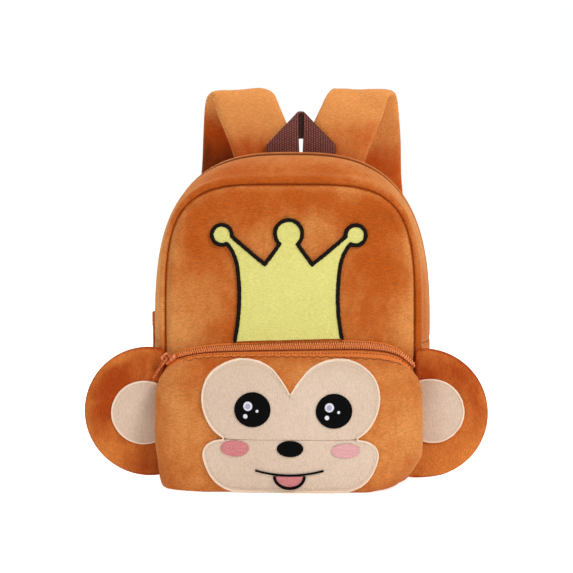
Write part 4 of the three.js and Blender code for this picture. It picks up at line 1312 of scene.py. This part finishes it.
tape = copy_of("pocket_zip_tape", "pocket_tape")
turn_edges(tape, **HARD_EDGE)
draw_up(tape)
sew(tape, "zip tape", ["pocket_zip_tape"], angle=HARD_ANGLE)
spots = [(place + side * TOOTH["side"] * MM * (1 if number % 2 else -1), along, out)
         for number, (place, along, side, out) in enumerate(frames_along(coil_rings, TOOTH["pitch"] / 2))]
teeth = set_along("pocket_teeth", tooth_shape(), spots)
draw_up(teeth)
sew(teeth, "zip teeth", ["pocket_zip_coil"], angle=HARD_ANGLE)
for row in ZIP_ROWS:
    spots = [(place + side * reach * MM - out * row["sink"] * MM, along, out)
             for reach in row["sides"]
             for place, along, side, out in frames_along(coil_rings, row["pitch"])]
    sew_stitches(row["name"], spots, row["finish"], row["length"], row["width"], draw_up)

# %% Thread and painted shadow in the front seam
# The seam's stitches are drawn in a dark thread that also paints the thin shadow line in the seam.
SEAM_SHADOW_THREAD = {"every": 2, "length": 2.0, "width": 0.8, "lowest": 92, "forward": 1.9}

ends = front_seam[::SEAM_SHADOW_THREAD["every"]]
in_seam = FORWARD * (SEAM_SHADOW_THREAD["forward"] - SEAM_ROLL["depth"]) * MM
spots = [(Vector((first + second) / 2) + in_seam, Vector(second - first).normalized(), FORWARD)
         for first, second in zip(ends, ends[1:])]
spots = [spot for spot in spots if spot[0].z > SEAM_SHADOW_THREAD["lowest"] * MM]
sew_stitches("seam_thread", spots, "deep rust shadow thread",
             SEAM_SHADOW_THREAD["length"], SEAM_SHADOW_THREAD["width"])

# %% [markdown]
# ## The crown
# A pale yellow patch with three points, each ending in a ball, lies on the front panel. A wide border of
# black satin stitch runs over its edge, all the way down to the pocket's zip. Balls and sides are arcs and
# curves, so that the outline stays smooth however finely it is cut.

# %% Crown
MIDDLE_BALL = (0, 192.8, 9.2)
SIDE_BALL = (50.5, 191.8, 6.5)
CROWN = {"base": 112, "side": -0.6, "gap": 0.2, "pitch": 1.2}
CROWN_EDGE = {"outside": 2.6, "inside": 0.4, "foot": 0.3, "fray": 0.17}
TAPE_SEARCH = 7
crown_half = [
    *[(x, CROWN["base"]) for x in range(0, 36, 7)],
    *bend((39.5, CROWN["base"]), (33.5, 141), (38, 170), 16),
    *bend((38, 170), (41, 182), (46.7, 186.6)),
    *arc(SIDE_BALL, -126, 192.5, 30),
    *bend((44.2, 190.4), (30.5, 178.2), (17.7, 168.3), 12)[1:],
    *bend((17.7, 168.3), (11.6, 176.2), (5.3, 185.2), 10),
    *arc(MIDDLE_BALL, -54.9, 90, 18),
]
tape_points = in_bag(points_of(tape))


def tape_top(x):
    """The height of the zip tape's upper edge."""
    return tape_points[np.abs(tape_points[:, 0] - x) < TAPE_SEARCH, 2].max()


def on_crown(x, z):
    """A point of the crown's outline, with the foot set on the zip tape's edge."""
    x += CROWN["side"]
    return (x, z if z > CROWN["base"] else tape_top(x) + CROWN["gap"])


def above_tape(face):
    x, _, z = in_bag(np.array(face.center))
    return z > tape_top(x) + CROWN_EDGE["foot"]


crown_line = even([on_crown(x, z) for x, z in both_halves(crown_half)], CROWN["pitch"])
sew_patch("crown_plush", crown_line, front, "yellow plush", "plush_yellow", ["crown_patch"],
          grid=5, top=1.2, thickness=0.9)
crown_lines = [frayed(grown(crown_line, growth), CROWN_EDGE["fray"])
               for growth in (CROWN_EDGE["outside"], -CROWN_EDGE["inside"])]
sew_border("crown_satin", crown_lines, front, "black satin", "thread_black", ["crown_border"],
           kept=above_tape, top=2.2, thickness=1.6, rounding=0.7)

# %% [markdown]
# ## The face
# The face is the plain face of a toy animal: a two-lobed mask for the eyes and a wide muzzle below it, both
# of cream plush with a narrow satin border. Only the right half is drawn, and the left half mirrors it.

# %% Mask and muzzle
FACE_SIDE = 2.1
CURVE_STEPS = 4
MASK_HALF = [
    (0, 42.2), (36, 42.2), (50, 43.2), (57, 48.6), (62.3, 56.5), (65.4, 65.2), (66, 74.6), (63.8, 83.6),
    (58.8, 90.4), (50.5, 95.4), (41, 98), (31.7, 98), (22.3, 96), (13, 91), (5.6, 82.8), (0, 74.4),
]
MUZZLE_HALF = [
    (0, 2), (37, 2.3), (46.5, 3.8), (54, 7.5), (59.8, 13.8), (63.6, 22), (65.3, 30), (63, 36.4), (57, 40.4),
    (50, 41.7), (36, 41.8), (0, 41.8),
]
NOTCH = {"muzzle": 9, "mask": 2}
FACE_PITCH = {"patch": 1.4, "edge": 1.3}
FACE_EDGE = {"outside": 0.4, "inside": 1.0, "fray": 0.08}


def on_face(half, pitch):
    """A whole outline on the face from its right half."""
    return even([(x + FACE_SIDE, z) for x, z in both_halves(half)], pitch)


mask, muzzle = (
    sew_patch(f"{name}_plush", on_face(smooth(half, CURVE_STEPS), FACE_PITCH["patch"]), pocket,
              "cream plush", "plush_cream", [f"face_{name}"], grid=5, top=1.3, thickness=0.9)
    for name, half in (("mask", MASK_HALF), ("muzzle", MUZZLE_HALF)))
below_notch = smooth(MUZZLE_HALF[:NOTCH["muzzle"] + 1], CURVE_STEPS)
above_notch = smooth(MASK_HALF[NOTCH["mask"]:], CURVE_STEPS)
face_line = on_face([*below_notch, *above_notch], FACE_PITCH["edge"])
face_lines = [frayed(grown(face_line, growth), FACE_EDGE["fray"])
              for growth in (FACE_EDGE["outside"], -FACE_EDGE["inside"])]
sew_border("face_satin", face_lines, pocket, "cream satin", "plush_cream", [],
           top=1.9, thickness=1.4, rounding=0.45)

# %% [markdown]
# ## Stitches on the face and the pocket
# A row of fine stitches holds each cream patch, and a darker thread closes the pocket's plush to its zip
# tape. The rows are drawn flat. A ray from the front then finds where each stitch meets the cloth.

# %% Finding the cloth
STITCH_REACH = 0.3
EDGE_STEP = 0.4


def surface_at(x, z, carriers):
    """The place and normal of the foremost of some pieces, seen from the front at x and z."""
    hits = [carrier.ray_cast(at(x, DRAWING_DEPTH, z), -FORWARD) for carrier in carriers]
    hits = [(place, normal) for found, place, normal, _ in hits if found]
    return min(hits, key=lambda hit: hit[0].y, default=None)


def plush_starts(x):
    """The height at which the pocket's plush comes out in front of the zip tape, down from the coil."""
    z = np.interp(x, coil_path[:, 0], coil_path[:, 2])
    while z > 0:
        tape_hit, plush_hit = surface_at(x, z, [tape]), surface_at(x, z, [pocket])
        if plush_hit and (not tape_hit or plush_hit[0].y < tape_hit[0].y):
            break
        z -= EDGE_STEP
    return z


def rows_on(carriers, line, pitch):
    """Spots for stitches along a drawn line, on the surface of the pieces below."""
    run = run_along(line)
    stops = np.arange(pitch / 2, run[-1], pitch)
    spots = []
    for pair in zip(*(rows_at(stops + step, run, line) for step in (-STITCH_REACH, STITCH_REACH))):
        ends = [surface_at(x, z, carriers) for x, z in pair]
        if None not in ends:
            (first, normal), (second, _) = ends
            spots.append(((first + second) / 2, (second - first).normalized(), normal))
    return spots


print("cloth is searched every", EDGE_STEP, "mm")

# %% Stitches on the face
POCKET_SEAM = {"pitch": 1.3, "wave": 0.4, "turns": 0.95, "span": (-80, 86, 1.5), "evened": 7,
               "length": 2.0, "width": 0.7}
FACE_STITCHES = {"inside": 2.3, "pitch": 2.4, "length": 1.5, "width": 0.42}
MUZZLE_SEAM = {"half": 48, "z": 42, "pitch": 1.1, "raised": 0.95}

columns = np.arange(*POCKET_SEAM["span"])
heights = np.pad([plush_starts(x) for x in columns], POCKET_SEAM["evened"] // 2, mode="edge")
evened = np.convolve(heights, np.ones(POCKET_SEAM["evened"]) / POCKET_SEAM["evened"], "valid")
waves = POCKET_SEAM["wave"] * np.sin(columns * POCKET_SEAM["turns"])
spots = rows_on([tape, pocket], np.stack([columns, evened + waves], axis=1), POCKET_SEAM["pitch"])
sew_stitches("pocket_seam_thread", spots, "dark rust thread",
             POCKET_SEAM["length"], POCKET_SEAM["width"])

inner_line = grown(face_line, -FACE_STITCHES["inside"])
spots = rows_on([mask, muzzle], [*inner_line, inner_line[0]], FACE_STITCHES["pitch"])
muzzle_line = [(FACE_SIDE + sign * MUZZLE_SEAM["half"], MUZZLE_SEAM["z"]) for sign in (-1, 1)]
spots += [(place + out * MUZZLE_SEAM["raised"] * MM, along, out)
          for place, along, out in rows_on([pocket], muzzle_line, MUZZLE_SEAM["pitch"])]
sew_stitches("face_stitches", spots, "cream thread",
             FACE_STITCHES["length"], FACE_STITCHES["width"])

# %% [markdown]
# ## Embroidery
# Eyes, nose, cheeks, mouth and tongue are filled with thread, and stand a little above the plush. They are
# thin patches with a rounded edge, laid one on the other in the order in which they would be stitched.

# %% Eyes, nose and cheeks
EYE = {"side": 4.3, "x": 30.3, "half_width": 13.5, "half_height": 12.7}
CHEEK = {"x": 41.2, "half_width": 10.6}
NOSE = {"z": 35.5, "half_width": 9.9, "half_height": 6.2}
FEATURES = [
    {"side": "left", "sign": -1, "eye": 64.3, "cheek": 35.4, "round": 6.1, "blush": "pink thread"},
    {"side": "right", "sign": 1, "eye": 63.6, "cheek": 34, "round": 5.4, "blush": "pale pink thread"},
]
GLINT_CORE = 1.9
GLINT_POINTS = 20
GLINTS = [
    {"x": -3.4, "z": 2.8, "radius": 3.4},
    {"x": -5.2, "z": -4.6, "radius": 1.7},
    {"x": 3.5, "z": -0.7, "radius": 1.1},
]

for feature in FEATURES:
    side, sign, z = feature["side"], feature["sign"], feature["eye"]
    x = EYE["side"] + sign * EYE["x"]
    spot = ellipse(x, z, EYE["half_width"], EYE["half_height"])
    eye = sew_patch(f"eye_{side}_thread", spot, mask, "black thread", "thread_black", [f"eye_{side}"],
                    grid=4, top=1.0, thickness=0.7, rounding=0.4)
    for number, glint in enumerate(GLINTS, 1):
        spot = ellipse(x + glint["x"], z + glint["z"], glint["radius"], glint["radius"], GLINT_POINTS)
        sew_patch(f"glint_{side}_{number}", spot, eye, "white thread", "thread_black", [],
                  grid=2.5, top=0.6, thickness=0.5, rounding=0.2)
    spot = ellipse(x + GLINTS[0]["x"], z + GLINTS[0]["z"], GLINT_CORE, GLINT_CORE, GLINT_POINTS)
    sew_patch(f"glint_{side}_core", spot, pieces[f"glint_{side}_1"], "grey thread", "thread_black", [],
              grid=2.5, top=0.3, thickness=0.25)
    spot = ellipse(FACE_SIDE + sign * CHEEK["x"], feature["cheek"], CHEEK["half_width"], feature["round"])
    sew_patch(f"cheek_{side}_thread", spot, muzzle, feature["blush"], "thread_pink", [f"cheek_{side}"],
              grid=4, top=0.9, thickness=0.6, rounding=0.35)
spot = ellipse(FACE_SIDE, NOSE["z"], NOSE["half_width"], NOSE["half_height"])
sew_patch("nose_thread", spot, muzzle, "black thread", "thread_black", ["nose"],
          grid=4, top=1.1, thickness=0.8, rounding=0.4)

# %% Mouth and tongue
MOUTH = {"side": 1.5, "half": 25.5, "ends": 18.9, "middle": 15.3, "line": 1.5, "points": 24}
TONGUE = {"half": 10.2, "drop": 8.4, "edge": 2.0, "points": 25}
tongue_top = MOUTH["middle"] - MOUTH["line"] / 2


def smile(lift):
    """The mouth's curve, raised by so much."""
    ends = MOUTH["ends"] + lift
    low = 2 * MOUTH["middle"] - MOUTH["ends"] + lift
    left, right = (MOUTH["side"] + sign * MOUTH["half"] for sign in (-1, 1))
    return [*bend((left, ends), (MOUTH["side"], low), (right, ends), MOUTH["points"]), (right, ends)]


def half_round(growth):
    """The tongue's outline below the mouth, made larger by so much."""
    width, drop = TONGUE["half"] + growth, TONGUE["drop"] + growth
    turns = np.linspace(math.pi, 2 * math.pi, TONGUE["points"])
    return [(MOUTH["side"] + width * math.cos(t), tongue_top + drop * math.sin(t)) for t in turns]


sew_patch("tongue_thread", half_round(0), muzzle, "pink thread", "thread_pink", ["tongue"],
          grid=4, top=0.8, thickness=0.6, rounding=0.3)
mouth_line = [*smile(-MOUTH["line"] / 2), *reversed(smile(MOUTH["line"] / 2))]
sew_patch("mouth_thread", mouth_line, muzzle, "black thread", "thread_black", ["mouth_line"],
          grid=4, top=1.3, thickness=1.0, rounding=0.3)
tongue_line = [*half_round(TONGUE["edge"]), *reversed(half_round(0))]
sew_patch("tongue_edge_thread", tongue_line, muzzle, "black thread", "thread_black", [],
          grid=4, top=1.5, thickness=1.2, rounding=0.3)

# %% [markdown]
# ## Inner ears
# Each ear has a round cream patch that is cut off straight where the ear goes in behind the pocket. A disc
# could be cut by bisecting, but its border has to follow the cut, so both are drawn as on the face.

# %% Inner ears
INNER_EAR = {"side": -1.7, "x": 109.7, "z": {"left": 55.3, "right": 58}, "radius": 24.5, "root": 96.2,
             "points": 96, "pitch": 1.4}
EAR_EDGE = {"outside": 0.3, "inside": 1.2}


def cut_at_root(outline, sign):
    """The outline with what lies nearer to the bag than the root moved out to it."""
    return [(sign * max(sign * x, INNER_EAR["root"]), z) for x, z in outline]


for side, sign in (("left", -1), ("right", 1)):
    ear = pieces[f"ear_{side}_plush"]
    disc = ellipse(INNER_EAR["side"] + sign * INNER_EAR["x"], INNER_EAR["z"][side],
                   INNER_EAR["radius"], INNER_EAR["radius"], INNER_EAR["points"])
    outline = even(cut_at_root(disc, sign), INNER_EAR["pitch"])
    sew_patch(f"ear_inner_{side}_plush", outline, ear, "cream plush", "plush_cream", [f"ear_inner_{side}"],
              grid=4, top=1.2, thickness=0.9)
    ear_lines = [cut_at_root(grown(outline, growth), sign)
                 for growth in (EAR_EDGE["outside"], -EAR_EDGE["inside"])]
    sew_border(f"ear_satin_{side}", ear_lines, ear, "cream satin", "plush_cream", [],
               top=1.7, thickness=1.3, rounding=0.4)

# %% [markdown]
# ## Main zip, sliders and pull
# The main zip runs over the top of the bag between the two gusset strips. Its teeth are the pocket zip's,
# set along the ridge of its solid. The metal pieces keep the shapes of their solids, and their cut edges
# are bevelled so that they catch the light.

# %% Main zip, sliders and pull
RIDGE = {"foot": 100, "window": 0.06, "height": 0.8, "side": 0.75, "sink": 0.5, "smooth": 8}
METAL_EDGE = {"width": 0.2, "sharpness": 40}
METAL = [
    {"node": "main_zip_slider", "name": "main_slider", "body": "bag"},
    {"node": "pocket_zip_slider", "name": "pocket_slider", "body": "bag"},
    {"node": "pocket_zip_pull", "name": "pocket_pull", "body": "pull"},
]


def ridge_of(points):
    """The top of the zip's raised middle as places in order round the bag, from points on both its edges."""
    from_foot = points - np.array(at(0, 0, RIDGE["foot"]))
    turns = np.arctan2(from_foot[:, 2], from_foot[:, 0])
    reach = np.hypot(from_foot[:, 0], from_foot[:, 2])
    top = [i for i in range(len(points))
           if reach[i] > reach[np.abs(turns - turns[i]) < RIDGE["window"]].max() - RIDGE["height"] * MM]
    line = points[sorted(top, key=lambda i: turns[i])]
    return np.array(smooth((line[:-1:2] + line[1::2]) / 2, RIDGE["smooth"]))


strip = copy_of("main_zip", "main_tape")
turn_edges(strip, **HARD_EDGE)
sew(strip, "zip tape", ["main_zip"], angle=HARD_ANGLE)
ridge_line = ridge_of(np.unique(points_of(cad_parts["main_zip"]).round(5), axis=0))
run = run_along(ridge_line)
stops = np.arange(TOOTH["pitch"] / 4, run[-1] / MM, TOOTH["pitch"] / 2) * MM
before, after = (rows_at(stops + step, run, ridge_line) for step in (-MM, MM))
spots = []
for number, (first, second) in enumerate(zip(before, after)):
    along = Vector(second - first).normalized()
    out = along.cross(FORWARD)
    side = FORWARD * (-1 if number % 2 else 1)
    place = Vector((first + second) / 2) + (side * RIDGE["side"] - out * RIDGE["sink"]) * MM
    spots.append((place, along, out))
main_teeth = set_along("main_teeth", tooth_shape(), spots)
sew(main_teeth, "zip teeth", [], angle=HARD_ANGLE)
for row in METAL:
    metal = copy_of(row["node"], row["name"])
    turn_edges(metal, **METAL_EDGE)
    sew(metal, "painted metal", [row["node"]], row["body"], angle=HARD_ANGLE)

# %% [markdown]
# ## Handle, webbing and adjusters
# The handle is one length of webbing folded over at its top. Bevelled corners let the fold turn softly, and
# its inner layer, seen in the fold, gets a painted shadow. The moulded adjusters get a raised rim by
# insetting their two large faces and pushing the middles in.

# %% Handle
FOLD = {"peak": 278, "gap": 2, "layer": 1.7, "open": 1.5, "shade": 0.8}
FOLD_CORNER = {"width": 5.0, "segments": 5, "angles": (35, 60)}
FOLD_FACING = -0.5
WEBBING_ANGLE = 40


def round_corners(piece, width, segments, angles):
    """Bevels the edges that turn by an angle between two in degrees, as webbing turns a corner softly."""
    normals = {}
    for face in piece.data.polygons:
        for key in face.edge_keys:
            normals.setdefault(key, []).append(face.normal.copy())
    turns = {key: math.degrees(sides[0].angle(sides[1], 0))
             for key, sides in normals.items() if len(sides) == 2}
    choose(piece, "EDGE", lambda edge: angles[0] < turns.get(edge.key, 0) < angles[1])
    bpy.ops.mesh.bevel(offset=width * MM, segments=segments, affect="EDGES", clamp_overlap=True)
    close()


handle = copy_of("top_handle", "handle_webbing")
points = points_of(handle) / MM
middle = (points[:, 0].min() + points[:, 0].max()) / 2
front_layer = points[:, 1].min() + FOLD["layer"]
from_middle = points[:, 0] - middle
opened = (np.abs(from_middle) < FOLD["gap"]) & (points[:, 1] < front_layer) & (points[:, 2] > FOLD["peak"])
shift(handle, x=FOLD["open"] * np.sign(from_middle) * opened)
round_corners(handle, **FOLD_CORNER)
turn_edges(handle, width=0.4, sharpness=60)
# Faces of the inner layer that face the front are darkened: painted shadow in the fold.
painted_shadow = [-FOLD["shade"] if face.normal.y < FOLD_FACING and face.center.y > front_layer * MM else 0
          for face in handle.data.polygons]
handle.data.attributes.new(NAP_AND_PAINTED_LIGHT, "FLOAT", "FACE").data.foreach_set("value", painted_shadow)
sew(handle, "brown webbing", ["top_handle"], angle=WEBBING_ANGLE)

# %% Lower webbing and adjusters
ADJUSTER = {"rim": 2.6, "depth": 1.4, "grown": 0.5}


def sink_middles(piece, rim, depth):
    """Insets the two largest faces of a block and pushes their middles in, which leaves a raised rim."""
    for sign in (-1, 1):
        side = [face for face in piece.data.polygons if face.normal.y * sign > 0]
        largest = max(side, key=lambda face: face.area)
        number, push = largest.index, -largest.normal * depth * MM
        choose(piece, "FACE", lambda face: face.index == number)
        bpy.ops.mesh.inset(thickness=rim * MM)
        bpy.ops.transform.translate(value=push)
        close()


for side in ("left", "right"):
    strip = copy_of(f"strap_webbing_{side}", f"lower_webbing_{side}")
    refine(strip, sharpness=60)
    turn_edges(strip, width=0.3, sharpness=60)
    sew(strip, "brown webbing", [f"strap_webbing_{side}"], angle=WEBBING_ANGLE)
    block = copy_of(f"strap_adjuster_{side}", f"adjuster_{side}")
    shift(block, *(np.array([vertex.normal for vertex in block.data.vertices]).T * ADJUSTER["grown"]))
    sink_middles(block, ADJUSTER["rim"], ADJUSTER["depth"])
    turn_edges(block, width=0.5, sharpness=40)
    sew(block, "brown plastic", [f"strap_adjuster_{side}"], angle=WEBBING_ANGLE)

# %% [markdown]
# ## The pieces
# The script ends by printing how many pieces were sewn.

# %% Finish
print("pieces:", len(pieces))
